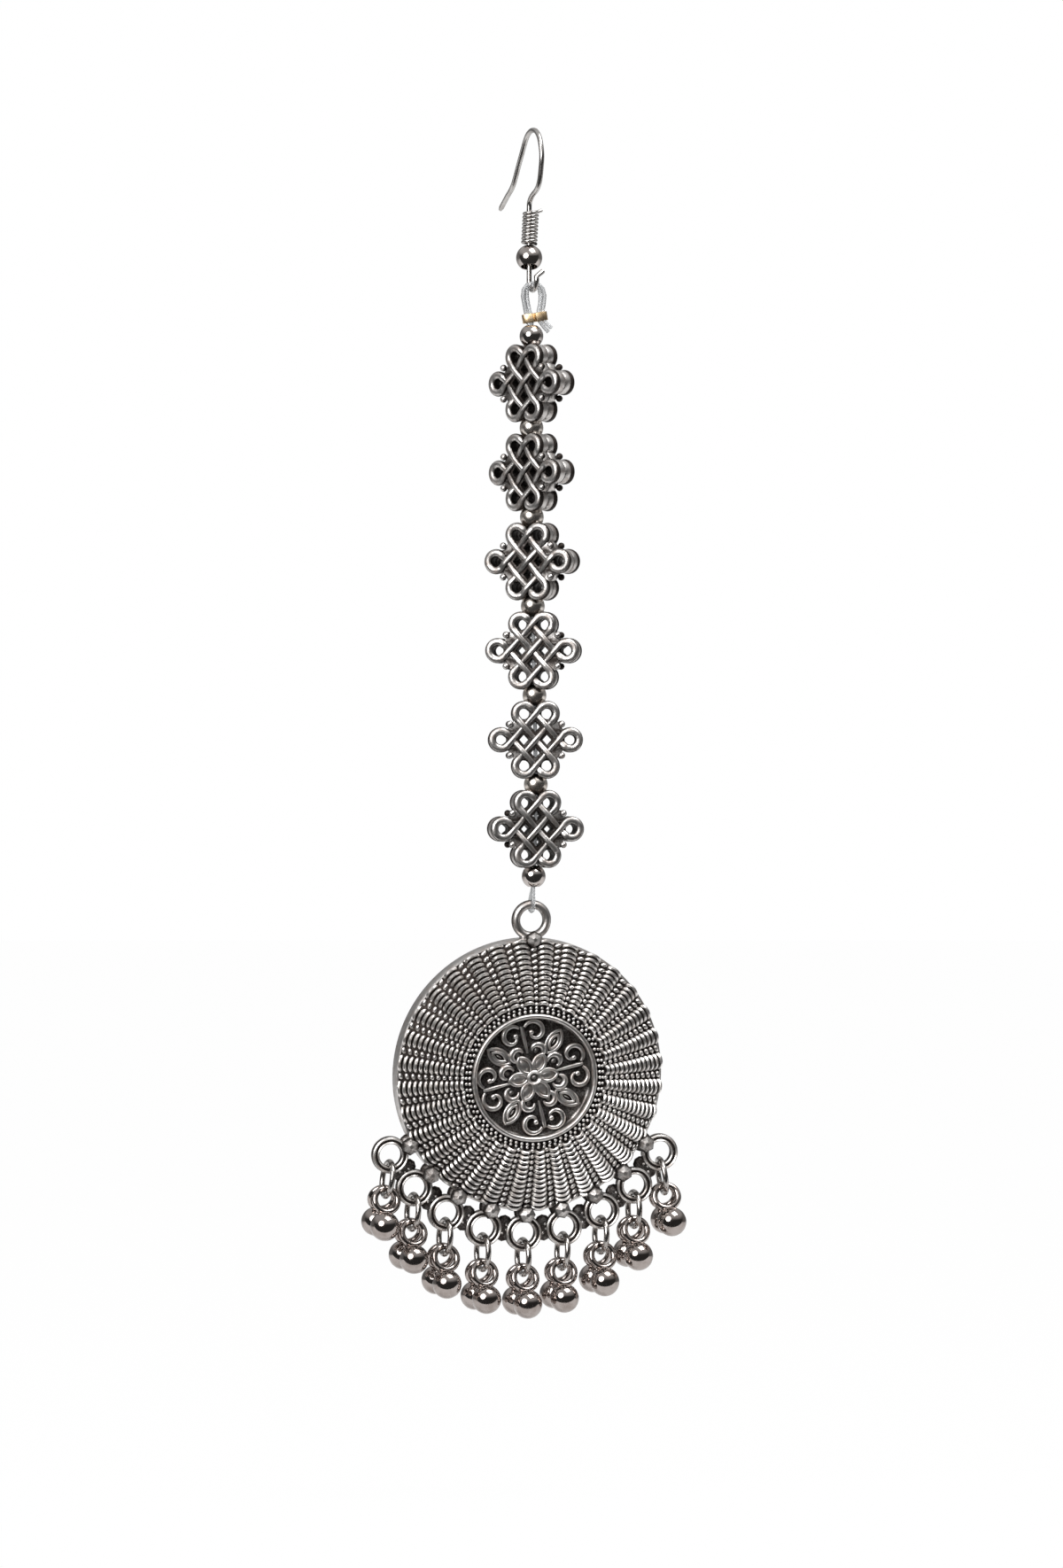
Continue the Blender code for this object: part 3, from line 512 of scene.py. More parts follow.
# A paler copy of the bead metal for the spacers: partly their paler tone, partly painted light
# lifting the shade of the knots above
PALE_PAINTED_LIGHT_METAL = PolishedMetal("pale_painted_light_metal", (0.86, 0.80, 0.74), (0.68, 0.61, 0.55), 0.20)
DROP_METAL = PolishedMetal("drop_metal", (0.43, 0.384, 0.362), (0.33, 0.285, 0.263), 0.055)
WIRE_STEEL = PolishedMetal(
    "wire_steel", (0.60, 0.58, 0.56), (0.45, 0.42, 0.40), 0.20, scale=1.4, scuff=0.5, bump=0.25
)
RING_STEEL = PolishedMetal(
    "ring_steel", (0.47, 0.445, 0.425), (0.36, 0.33, 0.31), 0.16, scale=1.4, scuff=0.5, bump=0.25
)
CRIMP_BRASS = PolishedMetal(
    "crimp_brass", (0.80, 0.60, 0.38), (0.55, 0.40, 0.23), 0.30, scale=1.2, scuff=0.5, bump=0.3
)


# Mesh helpers


def tidy(bm: BMesh) -> BMesh:
    """Merge doubled points, then turn all faces outwards.

    Args:
        bm: The mesh to clean.

    Returns:
        The same mesh.
    """
    bmesh.ops.remove_doubles(bm, verts=bm.verts, dist=MERGE)
    bmesh.ops.recalc_face_normals(bm, faces=bm.faces)
    return bm


def spin(bm: BMesh, axis: Triple, angle: float, steps: int, **how: bool) -> None:
    """Spin everything in a mesh about an axis through the origin.

    Args:
        bm: The mesh.
        axis: The axis.
        angle: The angle from the first place to the last.
        steps: The number of steps.
        **how: The operator's own options.
    """
    geom = list(bm.verts) + list(bm.edges) + list(bm.faces)
    middle = (0.0, 0.0, 0.0)
    bmesh.ops.spin(bm, geom=geom, cent=middle, axis=axis, angle=angle, steps=steps, **how)


def repeat(bm: BMesh, count: int) -> None:
    """Repeat everything in a mesh about Z, until there are count of it in all."""
    spin(bm, AXIS_Z, math.tau * (count - 1) / count, count - 1, use_duplicate=True)


def lathe(profile: Outline, steps: int) -> BMesh:
    """Turn an outline about Z.

    Args:
        profile: Points as (radius, height); it is closed unless it starts on the axis.
        steps: The number of steps round.

    Returns:
        The turned mesh.
    """
    bm = bmesh.new()
    verts = [bm.verts.new((radius, 0.0, height)) for radius, height in profile]
    for pair in zip(verts, verts[1:]):
        bm.edges.new(pair)
    if profile[0][0] > 0.0:
        bm.edges.new((verts[-1], verts[0]))
    spin(bm, AXIS_Z, math.tau, steps, use_merge=True)
    return tidy(bm)


def hoop(radius: float, bar: Pair, steps: int, sides: int) -> BMesh:
    """Make a ring about Y from an oval bar.

    Args:
        radius: The bar's middle radius.
        bar: The bar's width in the ring's plane and its depth along Y.
        steps: The number of steps round the ring.
        sides: The number of sides of the bar.

    Returns:
        The ring.
    """
    bm = bmesh.new()
    bmesh.ops.create_circle(bm, segments=sides, radius=1.0)
    bmesh.ops.scale(bm, vec=(bar[0] / 2, bar[1] / 2, 1.0), verts=bm.verts)
    bmesh.ops.translate(bm, vec=(radius, 0.0, 0.0), verts=bm.verts)
    spin(bm, AXIS_Y, math.tau, steps, use_merge=True)
    return tidy(bm)


def ball(radius: float, columns: int, rows: int) -> BMesh:
    """Make a sphere.

    Args:
        radius: The sphere's radius.
        columns: Faces round.
        rows: Faces from pole to pole.

    Returns:
        The sphere.
    """
    bm = bmesh.new()
    bmesh.ops.create_uvsphere(bm, u_segments=columns, v_segments=rows, radius=radius)
    return tidy(bm)


def mound(size: Triple, columns: int, rows: int) -> BMesh:
    """Make a sphere and scale it to a length, a width and a height."""
    bm = ball(0.5, columns, rows)
    bmesh.ops.scale(bm, vec=size, verts=bm.verts)
    return bm


def add_object(name: str, data: bpy.types.ID) -> Object:
    """Put a new object into the scene, at the origin."""
    holder = bpy.data.objects.new(name, data)
    bpy.context.scene.collection.objects.link(holder)
    return holder


def curve_to_bmesh(curve: Curve) -> BMesh:
    """Turn a curve's swept or filled shape into a mesh.

    Args:
        curve: The curve data, removed afterwards with its carrier.

    Returns:
        The mesh.
    """
    carrier = add_object("curve_carrier", curve)
    graph = bpy.context.evaluated_depsgraph_get()
    swept = bpy.data.meshes.new_from_object(carrier.evaluated_get(graph))
    bpy.data.objects.remove(carrier, do_unlink=True)
    bpy.data.curves.remove(curve)
    bm = bmesh.new()
    bm.from_mesh(swept)
    bpy.data.meshes.remove(swept)
    return tidy(bm)


def lay(outline: Outline, height: float = 0.0) -> list[Vector]:
    """Lay an outline's points in space, level at a height."""
    return [Vector((x, y, height)) for x, y in outline]


def new_curve(
    routes: list[list[Vector]], closed: bool, widths: list[float] | None = None
) -> Curve:
    """Start a curve of straight-sided splines.

    Args:
        routes: Each spline's points.
        closed: Whether the splines close on themselves.
        widths: Each point's share of the full thickness.

    Returns:
        The curve data.
    """
    curve = bpy.data.curves.new("route", "CURVE")
    curve.dimensions = "3D"
    for points in routes:
        spline = curve.splines.new("POLY")
        spline.points.add(len(points) - 1)
        for target, point, width in zip(spline.points, points, widths or [1.0] * len(points)):
            target.co = (*point, 1.0)
            target.radius = width
        spline.use_cyclic_u = closed
    return curve


def wire(
    points: list[Vector],
    radius: float,
    closed: bool = False,
    roundness: int = 3,
    widths: list[float] | None = None,
) -> BMesh:
    """Sweep a round wire along a route.

    Args:
        points: The route.
        radius: The wire's radius.
        closed: Whether the route closes on itself.
        roundness: The curve's bevel resolution.
        widths: Each point's share of the full radius.

    Returns:
        The wire.
    """
    curve = new_curve([points], closed, widths)
    curve.bevel_depth = radius
    curve.bevel_resolution = roundness
    curve.use_fill_caps = not closed
    return curve_to_bmesh(curve)


def strap(points: list[Vector], section: Outline, widths: list[float]) -> BMesh:
    """Sweep a closed route with a section that stays upright along Z.

    Args:
        points: The closed route.
        section: The section's points as (across, up).
        widths: The section's scale at each point.

    Returns:
        The swept strap.
    """
    outline = new_curve([lay(section)], True)
    outline.dimensions = "2D"
    outline.fill_mode = "NONE"
    holder = add_object("section", outline)
    curve = new_curve([points], True, widths)
    curve.twist_mode = "Z_UP"
    curve.bevel_mode = "OBJECT"
    curve.bevel_object = holder
    swept = curve_to_bmesh(curve)
    bpy.data.objects.remove(holder, do_unlink=True)
    bpy.data.curves.remove(outline)
    return swept


def plate(outlines: list[Outline], low: float, high: float, edge: float) -> BMesh:
    """Make a plate from an outline and its holes, with eased edges.

    Args:
        outlines: The outer outline, then the holes, as (x, y) points.
        low: The plate's lower face along Z.
        high: The plate's upper face along Z.
        edge: How far the edges are eased.

    Returns:
        The plate, in the XY plane.
    """
    curve = new_curve([lay(outline) for outline in outlines], True)
    curve.dimensions = "2D"
    curve.fill_mode = "BOTH"
    curve.extrude = (high - low) / 2 - edge
    curve.bevel_depth = edge
    curve.bevel_resolution = 1
    curve.offset = -edge
    bm = curve_to_bmesh(curve)
    bmesh.ops.translate(bm, vec=(0.0, 0.0, (low + high) / 2), verts=bm.verts)
    return bm


def smooth_route(points: list[Vector], steps: int, closed: bool = False) -> list[Vector]:
    """Lay points on a smooth curve through the given ones.

    Args:
        points: The points to pass through.
        steps: The number of steps to each stretch.
        closed: Whether the route closes on itself.

    Returns:
        The smooth route.
    """
    if closed:
        ends = [points[-1]] + points + points[:2]
    else:
        ends = [2 * points[0] - points[1]] + points + [2 * points[-1] - points[-2]]
    smooth = []
    for before, start, stop, after in zip(ends, ends[1:], ends[2:], ends[3:]):
        for step in range(steps):
            t = step / steps
            pull = (stop - before) * t + (2 * before - 5 * start + 4 * stop - after) * t * t
            pull += (3 * (start - stop) + after - before) * t * t * t
            smooth.append(start + pull / 2)
    if not closed:
        smooth.append(points[-1])
    return smooth


def arc(centre: Pair, radius: float, start: float, stop: float, steps: int) -> Outline:
    """Give points along an arc, both ends included.

    Args:
        centre: The arc's centre.
        radius: The arc's radius.
        start: The first point's angle.
        stop: The last point's angle.
        steps: The number of steps.

    Returns:
        The points.
    """
    turns = [start + (stop - start) * step / steps for step in range(steps + 1)]
    return [(centre[0] + radius * math.cos(a), centre[1] + radius * math.sin(a)) for a in turns]


def circle(centre: Pair, radius: float, count: int) -> Outline:
    """Give a number of points evenly round a circle."""
    return arc(centre, radius, 0.0, math.tau * (count - 1) / count, count - 1)


def polar(radius: float, angle: float, height: float) -> Vector:
    """Give the place at an angle, a radius and a height."""
    return Vector((radius * math.cos(angle), radius * math.sin(angle), height))


def shares(steps: int) -> list[float]:
    """Give the shares from 0 to 1 in equal steps."""
    return [step / steps for step in range(steps + 1)]


def lift(height: float) -> Matrix:
    """Give a move along Z."""
    return Matrix.Translation((0.0, 0.0, height))


def patina_and_shade_layer(bm: BMesh) -> bmesh.types.BMLayerItem:
    """Find a mesh's layer of patina and painted shade, or start it."""
    layers = bm.verts.layers.float
    return layers.get(PATINA_AND_SHADE) or layers.new(PATINA_AND_SHADE)


def stain_and_shade(bm: BMesh, rule: Rule) -> BMesh:
    """Write how dark each point of a mesh is, patina and painted shade together.

    Args:
        bm: The mesh.
        rule: A number, or a function from a point's place to a number, 0 bright to 1 black.

    Returns:
        The same mesh.
    """
    layer = patina_and_shade_layer(bm)
    for vert in bm.verts:
        vert[layer] = rule(vert.co) if callable(rule) else rule
    return bm


def shade_and_stain_sides(
    bm: BMesh, flat: float, steep: float, sink: float, reach: float = 1.25
) -> BMesh:
    """Write the darkening of a raised form: clean on its top, black down its sides as patina and
    painted shade.

    Args:
        bm: The mesh, its top towards Z.
        flat: The darkening where the face looks along Z.
        steep: The darkening where it looks sideways, patina and painted shade.
        sink: The darkening added from the mesh's highest place to its lowest.
        reach: How far the clean top reaches down the sides.

    Returns:
        The same mesh.
    """
    bm.normal_update()
    layer = patina_and_shade_layer(bm)
    heights = [vert.co.z for vert in bm.verts]
    low, high = min(heights), max(heights)
    for vert in bm.verts:
        # Painted shade: the further a face turns from +Z, the darker it is written
        lit = min(1.0, max(0.0, vert.normal.z) * reach) ** 2
        depth = (high - vert.co.z) / (high - low)
        vert[layer] = steep + (flat - steep) * lit + sink * depth
    return bm


def to_mesh(bm: BMesh, name: str) -> Mesh:
    """Turn a bmesh into smooth shaded mesh data and free it.

    Args:
        bm: The bmesh.
        name: The mesh's name.

    Returns:
        The mesh data.
    """
    mesh = bpy.data.meshes.new(name)
    bm.to_mesh(mesh)
    bm.free()
    mesh.shade_smooth()
    mesh.set_sharp_from_angle(angle=SHARP)
    return mesh


class Assembly:
    """Shapes gathered into one mesh, each set in its place."""

    def __init__(self) -> None:
        """Start with nothing but the layer of patina and painted shade."""
        self.bm = bmesh.new()
        patina_and_shade_layer(self.bm)

    def add(self, shape: Mesh | BMesh, matrix: Matrix | None = None) -> None:
        """Add a copy of a shape.

        Args:
            shape: A mesh, kept, or a bmesh, which is freed.
            matrix: Where the copy goes.
        """
        loose = isinstance(shape, BMesh)
        mesh = to_mesh(shape, "shape") if loose else shape
        self.bm.verts.ensure_lookup_table()
        first = len(self.bm.verts)
        self.bm.from_mesh(mesh)
        self.bm.verts.ensure_lookup_table()
        if matrix is not None:
            bmesh.ops.transform(self.bm, matrix=matrix, verts=self.bm.verts[first:])
        if loose:
            bpy.data.meshes.remove(mesh)


def publish(
    shape: BMesh | Assembly,
    name: str,
    material: Material,
    body: Body,
    slot: Slot,
    node: str,
    matrix: Matrix | None = None,
) -> Object:
    """Add a finished piece to the scene.

    Args:
        shape: The piece's mesh.
        name: The piece's name.
        material: Its material.
        body: The body it rides on.
        slot: The material slot for its finish; not used.
        node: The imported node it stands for.
        matrix: Where the piece goes.

    Returns:
        The piece's object, at the origin.
    """
    bm = shape.bm if isinstance(shape, Assembly) else shape
    if matrix is not None:
        bmesh.ops.transform(bm, matrix=matrix, verts=bm.verts)
    piece = add_object(name, to_mesh(bm, name))
    piece.data.materials.append(material)
    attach(piece, body.value)
    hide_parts(node)
    LOG.info("%s: %d faces", name, len(piece.data.polygons))
    return piece


# Sizes that the sub-assemblies share; a drop is measured down from inside the hook's top

HOOK_TURN = math.radians(68.0)
WIRE_RADIUS = 0.00032
EYE_RADIUS = 0.00124
EAR_BALL_DROP = 0.01563
EAR_BALL_RADIUS = 0.00165
EYE_DROP = EAR_BALL_DROP + EAR_BALL_RADIUS + EYE_RADIUS
EYE_TO_CRIMP = 0.00466
CRIMP_DROP = EYE_DROP + EYE_TO_CRIMP
CRIMP_TO_BALL = 0.00234
TOP_BALL_DROP = CRIMP_DROP + CRIMP_TO_BALL
END_REACH = 0.00592
FIRST_KNOT_DROP = TOP_BALL_DROP + END_REACH
KNOT_PITCH = 0.01118
KNOT_COUNT = 6
BOTTOM_BALL_DROP = FIRST_KNOT_DROP + (KNOT_COUNT - 1) * KNOT_PITCH + END_REACH
BALL_TO_PIVOT = 0.00442
PIVOT_DROP = BOTTOM_BALL_DROP + BALL_TO_PIVOT
BALL_RADIUS = 0.0015
BALL_BORE = 0.00063
BALL_ROWS = 14
BALL_COLUMNS = 28
SWAY = 0.00055
STRING_SIDE = 0.00018
THREAD_RADIUS = 0.00025
THREAD_GAP = 0.0001
STRAND_OFFSET = 0.00028
PENDANT_TURN = math.radians(14.5)
PENDANT_PITCH = math.radians(6.0)
DISC_RADIUS = 0.0172
TOP_RING_BAR = 0.0011
TOP_RING_HOLE = 0.0029
TOP_RING_SINK = 0.0003
TOP_RING_REACH = DISC_RADIUS + TOP_RING_HOLE / 2 + TOP_RING_BAR - TOP_RING_SINK
RING_THICKNESS = 0.0013
FACE = Matrix.Rotation(math.pi / 2, 4, "X")
FLAT = Matrix.Rotation(-math.pi / 2, 4, "X")


def in_hook_plane(across: float, height: float) -> Vector:
    """Turn a place in the hook's own plane into a place in space."""
    return Vector((across * math.cos(HOOK_TURN), -across * math.sin(HOOK_TURN), height))


def string_point(drop: float) -> Vector:
    """Give the middle of the bead string at a drop below the hook."""
    share = (drop - TOP_BALL_DROP) / (PIVOT_DROP - TOP_BALL_DROP)
    sway = SWAY * math.sin(math.pi * max(share, 0.0) ** 3)
    return Vector((sway - STRING_SIDE, 0.0, -drop))


def bead_drops() -> list[float]:
    """Give the drop of each bead, balls and knots in turn, from the top ball down."""
    between = [FIRST_KNOT_DROP + step * KNOT_PITCH / 2 for step in range(2 * KNOT_COUNT - 1)]
    return [TOP_BALL_DROP] + between + [BOTTOM_BALL_DROP]


@dataclass
class EarWire:
    """The ear-wire hook with its wound coil and its ball."""

    steel: Material
    polish: Material
    reach: float = 0.0110
    drop: float = 0.00932
    bend_steps: int = 6
    tip_share: float = 0.7
    stem_start: float = 0.00988
    eye_sweep: float = math.radians(200.0)
    eye_steps: int = 14
    tip: Triple = (0.0008, 0.0009, 0.0007)
    coil_radius: float = 0.00021
    coil_play: float = 0.0003
    coil_turns: int = 9
    coil_steps: int = 18
    coil_pitch: float = 0.000445
    coil_lean: float = math.radians(3.0)
    coil_end: float = 0.0007
    coil_leaving: Triple = (1.2, 0.0, 0.5)
    seat_gap: float = 0.00012
    bore_top: float = 0.00075
    bore_low: float = 0.00105
    ball_tilt: float = math.radians(18.0)
    route: tuple[Pair, ...] = (
        (-1.000, 1.000),
        (-0.797, 0.845),
        (-0.607, 0.702),
        (-0.417, 0.416),
        (-0.228, 0.130),
        (-0.120, 0.030),
        (0.000, 0.000),
        (0.120, 0.035),
        (0.215, 0.145),
        (0.269, 0.344),
        (0.250, 0.520),
        (0.202, 0.702),
        (0.120, 0.805),
        (-0.020, 0.880),
        (-0.098, 0.960),
    )

    def hook(self) -> BMesh:
        """Bend the hook, its stem and its eye from one wire."""
        hook = [in_hook_plane(x * self.reach, WIRE_RADIUS - z * self.drop) for x, z in self.route]
        hook.append(in_hook_plane(-EYE_RADIUS, WIRE_RADIUS - self.stem_start))
        points = smooth_route(hook, self.bend_steps)
        points.append(in_hook_plane(-EYE_RADIUS, -EYE_DROP))
        for step in range(1, self.eye_steps + 1):
            angle = math.pi + self.eye_sweep * step / self.eye_steps
            across = EYE_RADIUS * math.cos(angle)
            points.append(in_hook_plane(across, -EYE_DROP + EYE_RADIUS * math.sin(angle)))
        points.append(points[-1] + Vector(self.tip))
        widths = [self.tip_share] + [1.0] * (len(points) - 1)
        return wire(points, WIRE_RADIUS, roundness=4, widths=widths)

    def coil(self) -> BMesh:
        """Wind the thin wire round the stem, standing on the ball."""
        radius = WIRE_RADIUS + self.coil_play + self.coil_radius
        seat = math.sqrt(EAR_BALL_RADIUS**2 - radius**2) + self.seat_gap + self.coil_radius
        foot = in_hook_plane(-EYE_RADIUS, -EAR_BALL_DROP + seat)
        points = []
        for step in range(self.coil_turns * self.coil_steps + 1):
            angle = math.tau * step / self.coil_steps
            rise = self.coil_pitch * step / self.coil_steps
            lean = rise * math.tan(self.coil_lean)
            swing = Vector((radius * math.cos(angle) + lean, radius * math.sin(angle), rise))
            points.append(foot + swing)
        leaving = (points[-1] - points[-2]).normalized() + Vector(self.coil_leaving)
        points.append(points[-1] + leaving.normalized() * self.coil_end)
        return wire(points, self.coil_radius)

    def build(self) -> None:
        """Build and dress the hook, the coil and the ball."""
        place = Matrix.Translation(in_hook_plane(-EYE_RADIUS, -EAR_BALL_DROP))
        place = place @ Matrix.Rotation(-self.ball_tilt, 4, "X")
        steel, string = self.steel, Body.STRING
        publish(self.hook(), "ear_wire_hook", steel, string, Slot.STEEL, "ear_wire")
        publish(self.coil(), "ear_wire_wrap", steel, string, Slot.STEEL, "ear_wire_coil")
        shape = drilled_ball(EAR_BALL_RADIUS, self.bore_top, self.bore_low)
        publish(shape, "ear_ball", self.polish, string, Slot.BEAD, "ear_wire_ball", place)


def drilled_ball(radius: float, top: float, low: float, lip: float = 0.00006) -> BMesh:
    """Turn a drilled ball with a small lip at each mouth.

    Args:
        radius: The ball's radius.
        top: The upper mouth's radius.
        low: The lower mouth's radius.
        lip: How far each mouth is eased.

    Returns:
        The ball.
    """
    start, stop = math.acos((top + lip) / radius), -math.acos((low + lip) / radius)
    side = arc((0.0, 0.0), radius, start, stop, BALL_ROWS)
    outline = [(top, side[0][1] - lip / 2)] + side + [(low, side[-1][1] + lip / 2)]
    return lathe(outline, BALL_COLUMNS)


@dataclass
class NylonThread:
    """The doubled clear line: two loops over the eye, the crimp, the strands and their turn."""

    nylon: Material
    brass: Material
    outer_width: float = 0.0028
    inner_width: float = 0.00176
    crimp_height: float = 0.0011
    crimp_crease: float = 0.0004
    crimp_wall: float = 0.00019
    crimp_edge: float = 0.00004
    crimp_shift: float = 0.00024
    crimp_tilt: float = math.radians(9.0)
    loop_lift: float = 0.00025
    turn_share: float = 0.62
    smooth_reach: float = 0.003
    loop_shape: tuple[Pair, ...] = (
        (0.0, 0.0),
        (0.56, 0.06),
        (0.90, 0.20),
        (1.0, 0.42),
        (0.88, 0.70),
    )
    outer_tail: tuple[Triple, ...] = (
        (0.00050, -0.00010, 0.00095),
        (0.00110, -0.00015, 0.00150),
    )
    inner_tail: tuple[Triple, ...] = (
        (0.00062, 0.00012, 0.00118),
        (0.00128, 0.00018, 0.00190),
    )

    def in_crimp(self, across: float, up: float) -> Vector:
        """Turn a place in the tilted crimp into a place in space."""
        centre = Vector((self.crimp_shift, 0.0, -CRIMP_DROP))
        return centre + Matrix.Rotation(-self.crimp_tilt, 3, "Y") @ Vector((across, 0.0, up))

    def eye_loop(self, width: float, side_way: int, slots: Pair) -> list[Vector]:
        """Give one loop over the eye, from its left strand up and over to its right.

        Args:
            width: The loop's width.
            side_way: -1 for the loop in front, 1 for the one behind.
            slots: The loop's two places across the crimp.

        Returns:
            The loop's points.
        """
        bow = EYE_RADIUS - math.sqrt(EYE_RADIUS**2 - (2 * THREAD_RADIUS) ** 2)
        top = -EYE_DROP - EYE_RADIUS + WIRE_RADIUS + THREAD_RADIUS + self.loop_lift + bow
        feet = [self.in_crimp(slot, self.crimp_height / 2) for slot in slots]
        runs: list[list[Vector]] = [[], []]
        for across, down in self.loop_shape:
            for side, foot, run in ((-1, feet[0], runs[0]), (1, feet[1], runs[1])):
                height = top + (foot.z - top) * down
                depth = side_way * STRAND_OFFSET * (1.0 - down)
                shift = self.crimp_shift * down
                run.append(Vector((side * across * width / 2 + shift, depth, height)))
        return [feet[0]] + runs[0][:0:-1] + runs[1] + [feet[1]]

    def pendant_turn(self) -> list[Vector]:
        """Take the line before the top ring's bar, under it and up behind it."""
        pivot = string_point(PIVOT_DROP)
        facing = Vector((math.sin(PENDANT_TURN), -math.cos(PENDANT_TURN), 0.0))
        clear = RING_THICKNESS / 2 + THREAD_RADIUS + THREAD_GAP
        bar = THREAD_RADIUS + THREAD_GAP + TOP_RING_BAR / 2
        leaving = string_point(BOTTOM_BALL_DROP + BALL_RADIUS)
        runs = []
        for side in (1, -1):
            out = facing * clear * side
            run = [leaving + Vector((0.0, -side * STRAND_OFFSET, 0.0))]
            for height in (bar + TOP_RING_BAR / 4, bar - TOP_RING_BAR / 4):
                run.append(pivot + out + Vector((0.0, 0.0, height)))
            run.append(pivot + out * self.turn_share + Vector((0.0, 0.0, THREAD_GAP)))
            runs.append(run)
        return runs[0] + [pivot] + runs[1][::-1]

    def route(self) -> list[Vector]:
        """Give the whole line: tail, loop, strand down, turn, strand up, loop, tail."""
        inner = self.crimp_crease / 2 + THREAD_RADIUS
        outer = inner + 2 * STRAND_OFFSET
        front = self.eye_loop(self.outer_width, -1, (-outer, outer))
        behind = self.eye_loop(self.inner_width, 1, (-inner, inner))
        tails = []
        for slot, tail in ((outer, self.outer_tail), (inner, self.inner_tail)):
            foot = self.in_crimp(slot, -self.crimp_height / 2)
            centre = self.in_crimp(slot, 0.0)
            tails.append([foot] + [centre + Vector((x, y, -z)) for x, y, z in tail])
        mouth = math.sqrt(BALL_RADIUS**2 - BALL_BORE**2)
        strands = []
        for side, slot in ((-1, -outer), (1, -inner)):
            entry = string_point(TOP_BALL_DROP - mouth)
            entry.y = side * STRAND_OFFSET
            strand = [self.in_crimp(slot, -self.crimp_height / 2 - THREAD_GAP), entry]
            for drop in bead_drops():
                strand.append(string_point(drop) + Vector((0.0, side * STRAND_OFFSET, 0.0)))
            strands.append(strand)
        route = tails[0][::-1] + front[::-1] + strands[0] + self.pendant_turn()
        return route + strands[1][::-1] + behind + tails[1]

    def crimp(self) -> BMesh:
        """Fold the flattened tube with its crease between the two bundles."""
        gap = 2 * THREAD_GAP
        inner = self.crimp_crease / 2 - THREAD_GAP
        outer = self.crimp_crease / 2 + 4 * THREAD_RADIUS + gap
        high = THREAD_RADIUS + gap / 2
        wide, tall = outer + self.crimp_wall, high + self.crimp_wall
        ease, corner = 0.00005, 0.0002
        lobe = [
            (0.0, tall * 0.55),
            (inner + 2 * ease, tall * 0.95),
            (wide * 0.55, tall),
            (wide * 0.86, tall * 0.80),
            (wide, tall * 0.30),
        ]
        right = lobe + [(x, -y) for x, y in lobe[::-1]]
        outline = right + [(-x, y) for x, y in right[::-1]]
        outline = [point for number, point in enumerate(outline) if point not in outline[:number]]
        floor = [(inner + ease, -high * 0.5), (inner + corner, -high)]
        floor += [(outer - corner, -high), (outer, -high * 0.4)]
        hole = floor + [(x, -y) for x, y in floor[::-1]]
        holes = [[(side * x, y) for x, y in hole] for side in (-1, 1)]
        half = self.crimp_height / 2
        bm = plate([outline] + holes, -half, half, self.crimp_edge)
        pose = Matrix.Translation(self.in_crimp(0.0, 0.0))
        pose = pose @ Matrix.Rotation(-self.crimp_tilt, 4, "Y")
        bmesh.ops.transform(bm, matrix=pose, verts=bm.verts)
        return bm

    def build(self) -> None:
        """Build and dress the line, its close bends rounded, and the crimp."""
        points = self.route()
        rounded = []
        for before, here, after in zip(points, points[1:], points[2:]):
            close = max((here - before).length, (after - here).length) < self.smooth_reach
            rounded.append((before + 6 * here + after) / 8 if close else here)
        shape = wire([points[0]] + rounded + [points[-1]], THREAD_RADIUS, roundness=4)
        publish(shape, "nylon_line", self.nylon, Body.STRING, Slot.NYLON, "thread")
        publish(self.crimp(), "crimp_tube", self.brass, Body.STRING, Slot.BRASS, "crimp")


class Walk(Enum):
    """Which way the strand passes a crossing."""

    OVER = 1
    UNDER = -1


# The knot's six loops, as steps across and up on its lattice
LOBES = ((3, 0), (-3, 0), (1, 2), (-1, 2), (1, -2), (-1, -2))


